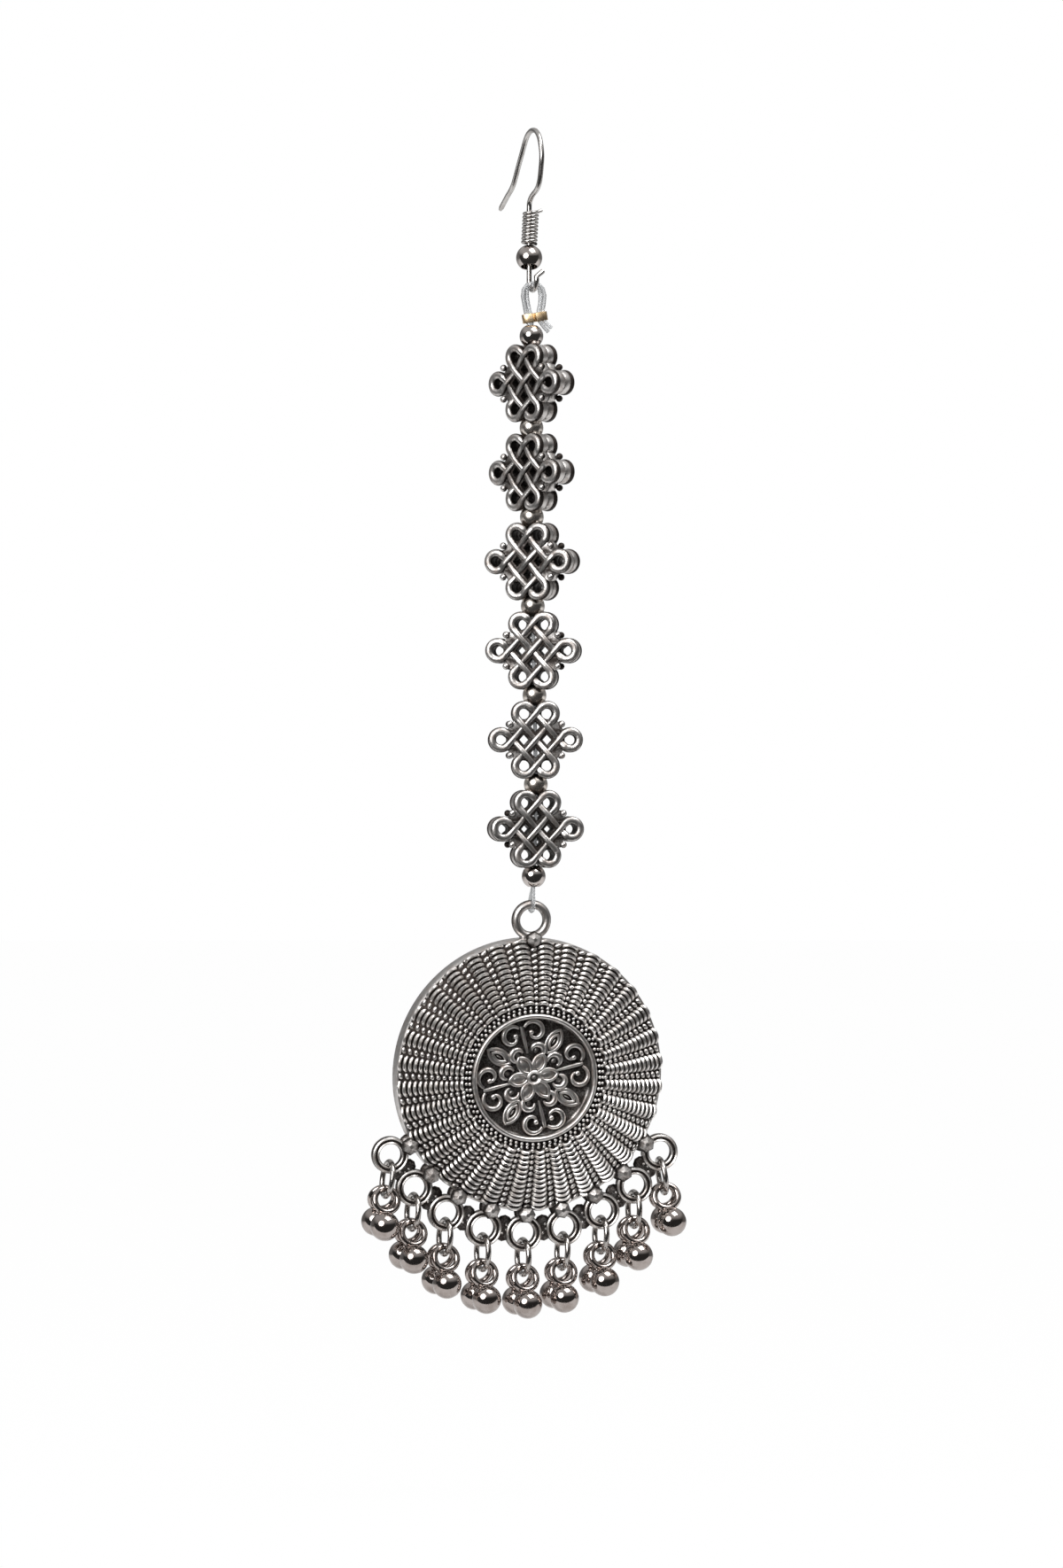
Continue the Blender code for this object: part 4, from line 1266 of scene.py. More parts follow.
@dataclass
class KnotBead:
    """A cast bead in the shape of a six-looped knot, woven on both faces."""

    cell_x: float = 0.00145
    cell_z: float = 0.00165
    lobe_radius: float = 0.0015
    side_sweep: float = math.radians(125.0)
    top_start: float = math.radians(-35.0)
    hole_radius: float = 0.00072
    hole_points: int = 16
    half_depth: float = 0.00195
    loop_radius: float = 0.0011
    loop_step: float = 26.0
    strand_width: float = 0.00086
    loop_swell: float = 1.14
    leg_swell: float = 0.86
    cell_share: float = 0.66
    strand_height: float = 0.00072
    weave: float = 0.00020
    wall_top: float = 0.00142
    wall_edge: float = 0.00014
    granule: float = 0.00044
    granule_place: Triple = (0.00326, 0.00196, 0.0002)
    wall_reach: float = 3.4
    wall_slack: float = 0.00002
    steps: int = 3
    wall_tarnish: float = 0.18
    # Patina and painted shade: the seam groove, the face, the holes, and the sides of the strands
    # and granules
    seam_patina_and_shade: float = 0.35
    face_patina_and_shade: float = 0.76
    strand_patina_and_shade: Triple = (0.26, 0.76, 0.40)
    granule_patina_and_shade: Triple = (0.15, 0.85, 0.0)

    def crossing(self, i: int, j: int, way: Walk) -> Vector:
        """Give a crossing's place, lifted or lowered by the weave."""
        return Vector((i * self.cell_x, j * self.cell_z, way.value * self.weave))

    def loop(self, i: int, j: int, start: float, stop: float) -> list[Vector]:
        """Give a loop's points round a cell, between two angles in degrees."""
        steps = max(4, round(abs(stop - start) / self.loop_step))
        centre = (i * self.cell_x, j * self.cell_z)
        return lay(arc(centre, self.loop_radius, math.radians(start), math.radians(stop), steps))

    def strand_route(self) -> tuple[list[Vector], list[float]]:
        """Follow the one closed strand over and under itself, loop by loop.

        Returns:
            The route's points and the strand's width at each.
        """
        lean = math.degrees(math.atan2(self.cell_x, self.cell_z))
        over, under = Walk.OVER, Walk.UNDER
        legs = [
            (((-2, 0, over), (-1, 1, under), (0, 2, over)), (1, 2, 180 - lean, -lean)),
            (((1, 1, under), (0, 0, over), (-1, -1, under)), (-1, -2, 180 - lean, 360 - lean)),
            (((0, -2, over), (1, -1, under), (2, 0, over)), (3, 0, 180 - lean, lean - 180)),
            (((2, 0, under), (1, 1, over), (0, 2, under)), (-1, 2, lean, 180 + lean)),
            (((-1, 1, over), (0, 0, under), (1, -1, over)), (1, -2, lean, lean - 180)),
            (((0, -2, under), (-1, -1, over), (-2, 0, under)), (-3, 0, lean, 360 - lean)),
        ]
        points, widths = [], []
        for crossings, turn in legs:
            leg, loop = [self.crossing(*crossing) for crossing in crossings], self.loop(*turn)
            points += leg + loop
            widths += [self.leg_swell] * len(leg) + [self.loop_swell] * len(loop)
        swells = []
        for here, after in zip(widths, widths[1:] + widths[:1]):
            for step in range(self.steps):
                swells.append(here + (after - here) * step / self.steps)
        return smooth_route(points, self.steps, closed=True), swells

    def section(self) -> Outline:
        """Give the strand's section: a rounded bar."""
        wide, high = self.strand_width / 2, self.strand_height / 2
        top = [(1.0, -0.15), (0.97, 0.28), (0.82, 0.62), (0.56, 0.87), (0.20, 1.0)]
        half = [(x * wide, y * high) for x, y in top]
        mirrored = [(-x, y) for x, y in half[::-1]]
        return half + mirrored + [(-wide * 0.9, -high), (wide * 0.9, -high)]

    def outline(self) -> Outline:
        """Give the six-lobed outline."""
        notch = math.acos(max(-1.0, -self.cell_x / self.lobe_radius))
        side, top = (3 * self.cell_x, 0.0), (self.cell_x, 2 * self.cell_z)
        quadrant = arc(side, self.lobe_radius, 0.0, self.side_sweep, 10)
        quadrant += arc(top, self.lobe_radius, self.top_start, notch, 14)
        outline = list(quadrant)
        for way_x, way_z in ((-1, 1), (-1, -1), (1, -1)):
            turned = quadrant[::-1] if way_x * way_z < 0 else quadrant
            outline += [(way_x * x, way_z * z) for x, z in turned]
        kept: Outline = []
        for point in outline:
            if all(math.dist(point, other) > 10 * MERGE for other in kept):
                kept.append(point)
        return kept

    def holes(self) -> list[Outline]:
        """Give the six loop holes and the four open cells."""
        holes = []
        for i, j in LOBES:
            centre = (i * self.cell_x, j * self.cell_z)
            holes.append(circle(centre, self.hole_radius, self.hole_points))
        reach = self.cell_x * self.cell_z / math.hypot(self.cell_x, self.cell_z)
        share = (reach - self.strand_width / 2) / reach
        wide, high = self.cell_x * share * self.cell_share, self.cell_z * share * self.cell_share
        for i, j in ((1, 0), (-1, 0), (0, 1), (0, -1)):
            x, z = i * self.cell_x, j * self.cell_z
            holes.append([(x + wide, z), (x, z + high), (x - wide, z), (x, z - high)])
        return holes

    def body_patina_and_shade(self, place: Vector) -> float:
        """Say how black the bead's body is: bare outer walls, a dark line along the seam, black
        face and holes, patina and painted shade.
        """
        # Painted shade with patina: darker at the seam groove, black on the face and in the holes
        seam = self.seam_patina_and_shade * max(0.0, 1.0 - place.z / (2 * self.wall_edge))
        far = abs(place.x) + abs(place.y) > self.wall_reach * self.cell_x
        rim = self.lobe_radius - self.wall_edge - self.wall_slack
        for i, j in LOBES:
            centre = Vector((i * self.cell_x, j * self.cell_z))
            spoke = place.xy - centre
            outward = spoke.dot(centre.normalized()) > -self.lobe_radius / 3
            if far and outward and spoke.length > rim:
                return self.wall_tarnish + seam
        return self.face_patina_and_shade

    def face(self) -> BMesh:
        """Build one face's half of the bead, towards +Z."""
        half = Assembly()
        body = plate([self.outline()] + self.holes(), 0.0, self.wall_top, self.wall_edge)
        half.add(stain_and_shade(body, self.body_patina_and_shade))
        height = self.half_depth - self.strand_height / 2 - self.weave
        route, widths = self.strand_route()
        woven = shade_and_stain_sides(strap(route, self.section(), widths), *self.strand_patina_and_shade)
        half.add(woven, lift(height))
        x, z, rise = self.granule_place
        for way_x, way_z in ((-1, -1), (-1, 1), (1, -1), (1, 1)):
            bead = shade_and_stain_sides(ball(self.granule, 12, 7), *self.granule_patina_and_shade)
            half.add(bead, Matrix.Translation((way_x * x, way_z * z, self.wall_top + rise)))
        return half.bm

    def mesh(self) -> Mesh:
        """Join the front and the back half, front towards -Y."""
        whole = Assembly()
        half = to_mesh(self.face(), "knot_half")
        whole.add(half, FACE)
        whole.add(half, Matrix.Rotation(math.pi, 4, "Z") @ FACE)
        return to_mesh(whole.bm, "knot_bead")


@dataclass
class BeadString:
    """The six knot beads with ball beads between them and at both ends."""

    silver: Material
    polish: Material
    pale: Material
    turns: tuple[float, ...] = (-43.0, -43.0, -25.0, -8.0, 2.0, 10.0)

    def build(self) -> None:
        """Build and dress the knots and the balls."""
        knot = KnotBead().mesh()
        for number, turn in enumerate(self.turns):
            place = Matrix.Translation(string_point(FIRST_KNOT_DROP + number * KNOT_PITCH))
            place = place @ Matrix.Rotation(math.radians(turn), 4, "Z")
            copy = Assembly()
            copy.add(knot, place)
            name = f"knot_{number + 1}"
            publish(copy, f"woven_{name}", self.silver, Body.STRING, Slot.SILVER, name)
        nodes = ["ball_top"] + [f"spacer_{n}" for n in range(1, KNOT_COUNT)] + ["ball_bottom"]
        for drop, node in zip(bead_drops()[::2], nodes):
            shape = drilled_ball(BALL_RADIUS, BALL_BORE, BALL_BORE)
            place = Matrix.Translation(string_point(drop))
            # Spacers take the paler metal, partly painted light against the knots' shade
            finish = self.pale if node.startswith("spacer") else self.polish
            publish(shape, f"round_{node}", finish, Body.STRING, Slot.BEAD, node, place)


def on_disc(radius: float, angle: float, height: float = 0.0) -> Matrix:
    """Give a place on the disc's front: X points outwards along the disc and Z to the front.

    Args:
        radius: The distance from the disc's middle.
        angle: The angle clockwise from straight up.
        height: The height above the plane of the rings.

    Returns:
        The place's matrix, in the disc's frame.
    """
    spot = Matrix.Translation((radius * math.sin(angle), -height, radius * math.cos(angle)))
    return spot @ Matrix.Rotation(angle - math.pi / 2, 4, "Y") @ FACE


def pendant_pose() -> Matrix:
    """Give the disc's place and turn in space."""
    pivot_radius = TOP_RING_REACH + TOP_RING_HOLE / 2 - THREAD_RADIUS - THREAD_GAP
    pose = Matrix.Translation(string_point(PIVOT_DROP))
    pose = pose @ Matrix.Rotation(PENDANT_TURN, 4, "Z") @ Matrix.Rotation(PENDANT_PITCH, 4, "X")
    return pose @ lift(-pivot_radius)


@dataclass
class Medallion:
    """The cast flower and scrolls on the floor of the disc's bezel."""

    floor: float
    button: float = 0.00092
    petals: int = 6
    petal_start: float = 0.35
    petal_ring: float = 0.0019
    petal_size: Triple = (0.0022, 0.0015, 0.0009)
    petal_lift: float = 0.0002
    leaf_ring: float = 0.0034
    leaf_spread: float = math.radians(22.0)
    leaf_radius: float = 0.00092
    leaf_sweep: Pair = (150.0, -250.0)
    leaf_steps: int = 14
    leaf_lobe: Triple = (0.0011, 0.0008, 0.0006)
    marquise_turn: float = math.radians(30.0)
    marquise_ring: float = 0.00515
    marquise_size: Pair = (0.0033, 0.00175)
    marquise_bed: Triple = (0.86, 0.82, 0.0007)
    # Each outline's share of the length and of the width, its height and its share of the line
    marquise_lines: tuple[tuple[float, ...], ...] = (
        (1.0, 1.0, 0.00034, 0.85),
        (0.62, 0.56, 0.00044, 0.7),
    )
    marquise_ridge: Triple = (0.0011, 0.00028, 0.0010)
    scroll_ring: float = 0.0058
    scroll_spread: float = math.radians(13.8)
    scroll_radius: float = 0.00132
    scroll_start: float = math.radians(-15.0)
    scroll_sweep: Pair = (-64.0, 318.0)
    scroll_curl: Pair = (0.74, 2.2)
    scroll_rise: Pair = (0.00042, 0.00016)
    scroll_steps: int = 26
    scroll_tip: float = 0.00036
    # The stem's points, as the distance from the middle and the share of the line
    stem: tuple[Pair, ...] = ((0.0031, 0.5), (0.0045, 1.0), (0.0058, 1.2), (0.0066, 0.8))
    line: float = 0.00027
    line_height: float = 0.0004

    def lens(self, length: float, width: float, height: float) -> list[Vector]:
        """Give the outline of a pointed oval, its points along X."""
        half, rise = length / 2, width / 2
        radius = (half**2 + rise**2) / (2 * rise)
        sweep = math.asin(half / radius)
        upper = arc((0.0, rise - radius), radius, math.pi / 2 - sweep, math.pi / 2 + sweep, 9)
        return lay(upper + [(x, -y) for x, y in upper[-2:0:-1]], height)

    def raised_line(
        self, points: list[Vector], height: float, share: float, widths: list[float] | None = None
    ) -> BMesh:
        """Sweep a raised line, bright along its top and black at its foot, patina and painted
        shade.

        Args:
            points: The line's route, which closes on itself if it has no widths.
            height: The height of the line's middle.
            share: The line's share of the full thickness.
            widths: Each point's share of the line's own thickness.

        Returns:
            The line.
        """
        bm = wire(points, self.line * share, closed=widths is None, widths=widths)
        # Darker towards the line's foot: patina and painted shade
        return stain_and_shade(bm, lambda place: 0.45 - 0.55 * (place.z - height) / self.line)

    def marquise(self) -> Assembly:
        """Build a double-outlined pointed oval with a ridge in its middle."""
        shape = Assembly()
        length, width = self.marquise_size
        long, wide, high = self.marquise_bed
        # A dark bed inside the outlines: patina and painted shade
        shape.add(stain_and_shade(mound((length * long, width * wide, high), 16, 8), 0.85))
        for long, wide, height, share in self.marquise_lines:
            outline = self.lens(length * long, width * wide, height)
            shape.add(self.raised_line(outline, height, share))
        shape.add(stain_and_shade(mound(self.marquise_ridge, 10, 6), 0.2))
        return shape

    def scroll(self, way: int) -> Assembly:
        """Build one curled half of a heart, ending in a ball.

        Args:
            way: 1 for the half that curls clockwise seen from the front, -1 for the other.

        Returns:
            The scroll about its own middle, with outwards along +X.
        """
        shape = Assembly()
        points, widths = [], []
        for share in shares(self.scroll_steps):
            angle = way * math.radians(self.scroll_sweep[0] + self.scroll_sweep[1] * share)
            radius = self.scroll_radius * (1.0 - self.scroll_curl[0] * share ** self.scroll_curl[1])
            height = self.scroll_rise[0] + self.scroll_rise[1] * math.sin(math.pi * share)
            points.append(polar(radius, angle, height))
            widths.append(0.75 + 0.5 * math.sin(math.pi * min(1.0, share * 1.3)))
        shape.add(self.raised_line(points, 0.00046, 1.0, widths))
        backing = [point - Vector((0.0, 0.0, 0.0003)) for point in points]
        # A dark backing under the scroll line: patina and painted shade at its foot
        shape.add(stain_and_shade(wire(backing, self.line * 1.5, widths=widths), 0.8))
        tip = points[-1] + Vector((0.0, 0.0, 0.00012))
        end = shade_and_stain_sides(ball(self.scroll_tip, 14, 8), 0.1, 0.8, 0.0)
        shape.add(end, Matrix.Translation(tip))
        return shape

    def petal(self) -> Assembly:
        """Build a cupped petal with a raised edge, its tip along +X."""
        shape = Assembly()
        cup = mound(self.petal_size, 14, 8)
        # Darker towards the cup's foot: patina and painted shade
        shape.add(stain_and_shade(cup, lambda place: 0.55 - 600.0 * place.z))
        edge = self.lens(self.petal_size[0] * 1.12, self.petal_size[1], self.line_height)
        shape.add(self.raised_line(edge, self.line_height, 0.8))
        return shape

    def leaf(self, way: int) -> Assembly:
        """Build a curled leaf: a tapered crescent with a lobe inside."""
        shape = Assembly()
        points, widths = [], []
        for share in shares(self.leaf_steps):
            angle = way * math.radians(self.leaf_sweep[0] + self.leaf_sweep[1] * share)
            points.append(polar(self.leaf_radius * (1.0 - 0.25 * share), angle, self.line_height))
            widths.append(0.45 + 1.1 * math.sin(math.pi * share))
        shape.add(self.raised_line(points, self.line_height, 1.0, widths))
        lobe = mound(self.leaf_lobe, 12, 6)
        # Darker towards the lobe's foot: patina and painted shade
        shape.add(stain_and_shade(lobe, lambda place: 0.75 - 900.0 * place.z))
        return shape

    def centre(self) -> BMesh:
        """Turn the middle button: a dished disc with a rolled edge and a dot."""
        rim = self.button
        outline = [
            (0.0, 0.00118),
            (0.00014, 0.00116),
            (0.00024, 0.00100),
            (0.00034, 0.00096),
            (0.00050, 0.00098),
            (rim * 0.76, 0.00112),
            (rim * 0.88, 0.00118),
            (rim, 0.00108),
            (rim * 1.04, 0.00085),
            (rim, 0.0),
            (0.0, 0.0),
        ]
        # Bright top, darker below: patina and painted shade
        return stain_and_shade(lathe(outline, 36), lambda place: 0.1 if place.z > 0.00105 else 0.75)

    def build(self) -> Assembly:
        """Set every raised form on the floor, in the disc's frame."""
        whole = Assembly()
        whole.add(self.centre(), on_disc(0.0, 0.0, self.floor))
        petal = to_mesh(self.petal().bm, "petal")
        marquise = to_mesh(self.marquise().bm, "marquise")
        leaves = [to_mesh(self.leaf(way).bm, "leaf") for way in (1, -1)]
        scrolls = [to_mesh(self.scroll(way).bm, "scroll") for way in (1, -1)]
        for number in range(self.petals):
            angle = math.tau * (number + self.petal_start) / self.petals
            whole.add(petal, on_disc(self.petal_ring, angle, self.floor + self.petal_lift))
        stem = [Vector((x, 0.0, self.line_height)) for x, _ in self.stem]
        widths = [width for _, width in self.stem]
        for number in range(4):
            quarter = math.tau * number / 4
            angle = quarter + self.marquise_turn
            whole.add(marquise, on_disc(self.marquise_ring, angle, self.floor))
            heart = quarter + self.scroll_start
            for pair, ring, spread in (
                (leaves, self.leaf_ring, self.leaf_spread),
                (scrolls, self.scroll_ring, self.scroll_spread),
            ):
                for side, form in zip((-1, 1), pair):
                    whole.add(form, on_disc(ring, heart + side * spread, self.floor))
            line = self.raised_line(stem, self.line_height, 0.9, widths)
            whole.add(line, on_disc(0.0, heart, self.floor))
        return whole


@dataclass
class Disc:
    """The domed disc: its hollow shell, wound ribs, granule ring and bezel."""

    silver: Material
    # The paler silver copy: painted light on the ribs and granules
    painted_light_ribbing: Material
    bezel: float = 0.0081
    bezel_height: float = 0.0042
    bezel_width: float = 0.0006
    floor: float = 0.0026
    cone_in: float = 0.00835
    cone_out: float = 0.0168
    cone_top: float = 0.0037
    cone_steps: int = 12
    rim_front: float = 0.0011
    rim_back: float = 0.0011
    wall: float = 0.0011
    crown: float = 0.0004
    floor_tarnish: float = 0.68
    back_tarnish: float = 0.42
    bezel_tarnish: float = 0.04
    rim_tarnish: float = 0.22
    ribs: int = 32
    wraps: int = 13
    knobs: int = 11
    wrap_in: float = 0.00925
    wrap_out: float = 0.01665
    wrap_share: float = 0.56
    wrap_height: float = 0.00058
    wrap_wire: float = 0.00021
    wrap_sweep: Pair = (-14.0, 208.0)
    wrap_tilt: float = math.radians(20.0)
    knob: Triple = (0.00060, 0.00100, 0.00068)
    knob_skew: float = math.radians(24.0)
    # Each row's count, circle and granule radius
    granules: tuple[tuple[int, float, float], ...] = (
        (72, 0.00842, 0.00024),
        (76, 0.00884, 0.00022),
    )

    def cone(self, radius: float) -> float:
        """Give the height of the dome's ground at a radius."""
        share = (radius - self.cone_in) / (self.cone_out - self.cone_in)
        line = self.cone_top + (self.rim_front - self.cone_top) * share
        return line + 4 * self.crown * share * (1.0 - share)

    def lean(self, radius: float) -> float:
        """Give the ground's slope at a radius, positive where it falls outwards."""
        step = 0.0001
        return math.atan2(self.cone(radius - step) - self.cone(radius + step), 2 * step)

    def shell(self) -> BMesh:
        """Turn the hollow-backed shell with its recess, bezel and rim."""
        inside = self.bezel - self.bezel_width
        ground = []
        for step in range(self.cone_steps + 1):
            radius = self.cone_in + (self.cone_out - self.cone_in) * step / self.cone_steps
            ground.append((radius, self.cone(radius)))
        rim = DISC_RADIUS
        outline = [
            (0.0, self.floor),
            (inside * 0.5, self.floor),
            (inside - 0.0002, self.floor),
            (inside, self.floor + 0.0002),
            (inside, self.bezel_height - 0.00030),
            (inside + 0.00006, self.bezel_height - 0.00012),
            (inside + 0.00018, self.bezel_height - 0.00001),
            (inside + 0.00030, self.bezel_height + 0.00003),
            (inside + 0.00042, self.bezel_height - 0.00001),
            (self.bezel - 0.00006, self.bezel_height - 0.00012),
            (self.bezel + 0.00002, self.bezel_height - 0.00030),
            (self.bezel + 0.00004, self.cone_top - 0.00010),
        ]
        outline += ground[1:] + [
            (rim - 0.00025, self.rim_front + 0.00012),
            (rim - 0.00008, self.rim_front + 0.00006),
            (rim, self.rim_front - 0.0002),
            (rim, 0.0002 - self.rim_back),
            (rim - 0.00015, -self.rim_back),
            (rim - self.wall + 0.00015, -self.rim_back),
            (rim - self.wall, 0.0002 - self.rim_back),
            (rim - 0.00176, self.rim_front - self.wall),
            (0.0125, self.cone(0.0125) - 0.0014),
            (self.bezel, self.cone_top - 0.00154),
            (inside - self.wall, self.floor - self.wall),
            (0.0, self.floor - self.wall),
        ]
        return stain_and_shade(lathe(outline, 160), self.shell_patina_and_shade)

    def shell_patina_and_shade(self, place: Vector) -> float:
        """Say how black the shell is: bare bezel and rim, dull floor and back, and black ground
        between the ribs, patina and painted shade.
        """
        radius, inside = math.hypot(place.x, place.y), self.bezel - self.bezel_width
        if radius < inside - 0.0001 and place.z > self.floor - 0.0003:
            return self.floor_tarnish
        if place.z < self.rim_front - self.wall or place.z < self.cone(radius) - 0.0008:
            return self.back_tarnish
        if inside - 0.00001 < radius < self.bezel + 0.00003 and place.z > self.floor + 0.001:
            return self.bezel_tarnish
        # Black ground between the ribs: patina and painted shade
        return self.rim_tarnish if radius > DISC_RADIUS - 0.0003 else 1.0

    def wrap(self, radius: float) -> BMesh:
        """Bend one turn of the wire wound on a rib, arched over the ground at a radius."""
        half = math.pi * radius / self.ribs * self.wrap_share
        points = []
        for share in shares(8):
            angle = math.radians(self.wrap_sweep[0] + self.wrap_sweep[1] * share)
            rise = self.wrap_height * math.sin(angle)
            out = rise * math.sin(self.wrap_tilt)
            points.append(Vector((out, half * math.cos(angle), rise * math.cos(self.wrap_tilt))))
        bm = wire(points, self.wrap_wire, roundness=2)
        # Darker towards the wire's foot on the ground, bright over its arch: patina and painted
        # shade
        return stain_and_shade(bm, lambda place: 0.64 - 1100.0 * max(0.0, place.z))

    def knob_bead(self, radius: float) -> BMesh:
        """Make one of the skewed lumps between two ribs."""
        length, width, height = self.knob
        bm = mound((length, width * radius / self.wrap_out, height), 10, 6)
        skew = Matrix.Rotation(self.knob_skew, 3, "Z")
        bmesh.ops.rotate(bm, verts=bm.verts, matrix=skew)
        return shade_and_stain_sides(bm, 0.0, 0.62, 0.20)

    def seats(self, count: int) -> list[tuple[float, Matrix]]:
        """Give even radii along a rib, each with its seat on the ground."""
        run = self.wrap_out - self.wrap_in
        radii = [self.wrap_in + run * number / (count - 1) for number in range(count)]
        return [(radius, Matrix.Translation((radius, 0.0, self.cone(radius)))) for radius in radii]

    def winding(self) -> Assembly:
        """Wind one rib with its column of knobs, then repeat it round the disc."""
        whole = Assembly()
        half_step = Matrix.Rotation(math.pi / self.ribs, 4, "Z")
        for radius, seat in self.seats(self.wraps):
            slope = Matrix.Rotation(self.lean(radius), 4, "Y")
            whole.add(self.wrap(radius), half_step @ (seat @ slope))
        for radius, seat in self.seats(self.knobs):
            whole.add(self.knob_bead(radius), seat)
        repeat(whole.bm, self.ribs)
        return whole

    def granule_circle(self) -> Assembly:
        """Set the two rows of granules outside the bezel."""
        whole = Assembly()
        for count, ring, size in self.granules:
            row = Assembly()
            bead = shade_and_stain_sides(ball(size, 8, 5), 0.0, 0.75, 0.1)
            row.add(bead, Matrix.Translation((ring, 0.0, self.cone(ring) + size * 0.5)))
            repeat(row.bm, count)
            whole.add(row.bm)
        return whole

    def build(self, pose: Matrix) -> None:
        """Build and dress the disc, at its place in space."""
        front, relief = pose @ FACE, Medallion(self.floor)
        for name, make, finish, place in (
            ("shell", self.shell, self.silver, front),
            ("winding", self.winding, self.painted_light_ribbing, front),
            ("granules", self.granule_circle, self.painted_light_ribbing, front),
            ("medallion", relief.build, self.silver, pose),
        ):
            name = f"pendant_{name}"
            publish(make(), name, finish, Body.PENDANT, Slot.SILVER, "pendant", place)


@dataclass
class RingRow:
    """The top ring and the row of rings along the disc's lower rim."""

    silver: Material
    count: int = 9
    pitch: float = math.radians(15.0)
    circle: float = 0.0202
    hole: float = 0.0014
    bar: float = 0.00093
    bar_depth: float = 0.00112
    # Each raised edge's offset from the bar's middle and its width
    edges: tuple[Pair, ...] = ((-0.00029, 0.00032), (0.00028, 0.00040))
    edge_depth: float = 0.00060
    edge_offset: float = 0.00034
    granule: float = 0.00118
    granule_rise: float = 0.0016
    granule_circle: float = 0.01765
    top_granule: float = 0.00110
    stud_step: float = math.radians(37.0)
    stud_profile: tuple[Pair, ...] = (
        (0.0, 0.72),
        (0.24, 0.70),
        (0.80, 0.42),
        (1.0, 0.0),
        (0.92, -0.4),
        (0.0, -0.6),
    )
    link_shift: float = -0.0003
    link_size: Triple = (0.0034, 0.0019, 0.0012)
    grain: float = 0.00024
    grain_rise: float = 0.00038
    grains: tuple[Pair, ...] = ((-0.0005, 0.0002), (0.0001, 0.0002), (0.0006, -0.0002))
    neck: Triple = (0.0026, 0.0026, 0.0013)
    neck_circle: float = 0.0174
    lug: Triple = (0.0014, 0.0011, 0.0013)
    lug_circle: float = DISC_RADIUS + 0.0001
    lug_turn: float = math.radians(3.1)

    def angles(self) -> list[float]:
        """Give the rings' angles, from the left end, clockwise from up."""
        middle = (self.count - 1) / 2
        return [math.pi - (number - middle) * self.pitch for number in range(self.count)]

    def rim_ring(self) -> Assembly:
        """Build one rim ring: a rounded bar with two raised edges."""
        ring = Assembly()
        middle = self.hole + self.bar / 2
        # The bar between the raised edges is black: patina and painted shade
        ring.add(stain_and_shade(hoop(middle, (self.bar, self.bar_depth), 40, 12), 0.92))
        for offset, width in self.edges:
            for side in (-1, 1):
                edge = hoop(middle + offset, (width, self.edge_depth), 40, 8)
                stain_and_shade(edge, self.edge_patina_and_shade(middle + offset, width))
                ring.add(edge, Matrix.Translation((0.0, side * self.edge_offset, 0.0)))
        return ring

    def edge_patina_and_shade(self, radius: float, width: float) -> Rule:
        """Give a rule that blackens the two flanks of a ring about Y, patina and painted shade."""

        def rule(place: Vector) -> float:
            """Say how black the ring is at a place."""
            across = 2 * (math.hypot(place.x, place.z) - radius) / width
            # Bright along the crest, darker down the flanks: patina and painted shade
            return 0.06 + 0.66 * across**2

        return rule

    def stud(self, radius: float) -> BMesh:
        """Make a faceted granule."""
        bm = lathe([(out * radius, up * radius) for out, up in self.stud_profile], 6)
        return shade_and_stain_sides(bm, 0.42, 0.84, 0.0)

    def link(self) -> Assembly:
        """Build the lump that joins two neighbouring rings."""
        gap = 2 * (self.circle * math.sin(self.pitch / 2) - self.hole - self.bar)
        length, overlap, height = self.link_size
        lump = Assembly()
        lump.add(stain_and_shade(mound((length, gap + overlap, height), 12, 8), 0.72))
        for x, y in self.grains:
            grain = shade_and_stain_sides(ball(self.grain, 8, 5), 0.35, 0.95, 0.0)
            lump.add(grain, Matrix.Translation((x, y, self.grain_rise)))
        return lump

    def build(self, pose: Matrix) -> None:
        """Build and dress the rings, with the disc's place in space."""
        rings, studs = Assembly(), Assembly()
        ring = to_mesh(self.rim_ring().bm, "rim_ring")
        stud = to_mesh(self.stud(self.granule), "rim_stud")
        neck = to_mesh(shade_and_stain_sides(mound(self.neck, 14, 8), 0.62, 1.0, 0.2), "ring_neck")
        angles = self.angles()
        for number, angle in enumerate(angles):
            rings.add(ring, on_disc(self.circle, angle) @ FLAT)
            rings.add(neck, on_disc(self.neck_circle, angle))
            twist = Matrix.Rotation(self.stud_step * number, 4, "Z")
            studs.add(stud, on_disc(self.granule_circle, angle, self.granule_rise) @ twist)
        link = to_mesh(self.link().bm, "ring_link")
        reach = self.circle * math.cos(self.pitch / 2) + self.link_shift
        for left, right in zip(angles, angles[1:]):
            rings.add(link, on_disc(reach, (left + right) / 2))
        middle = (TOP_RING_HOLE + TOP_RING_BAR) / 2
        top = hoop(middle, (TOP_RING_BAR, RING_THICKNESS), 48, 14)
        stain_and_shade(top, self.edge_patina_and_shade(middle, TOP_RING_BAR))
        rings.add(top, on_disc(TOP_RING_REACH, 0.0) @ FLAT)
        for side in (-1, 1):
            lug = stain_and_shade(mound(self.lug, 12, 8), 0.45)
            rings.add(lug, on_disc(self.lug_circle, side * self.lug_turn))
        studs.add(self.stud(self.top_granule), on_disc(DISC_RADIUS, 0.0, self.granule_rise))
        body, slot = Body.PENDANT, Slot.SILVER
        publish(rings, "pendant_rings", self.silver, body, slot, "pendant", pose)
        piece = publish(studs, "pendant_studs", self.silver, body, slot, "pendant", pose)
        piece.data.shade_flat()


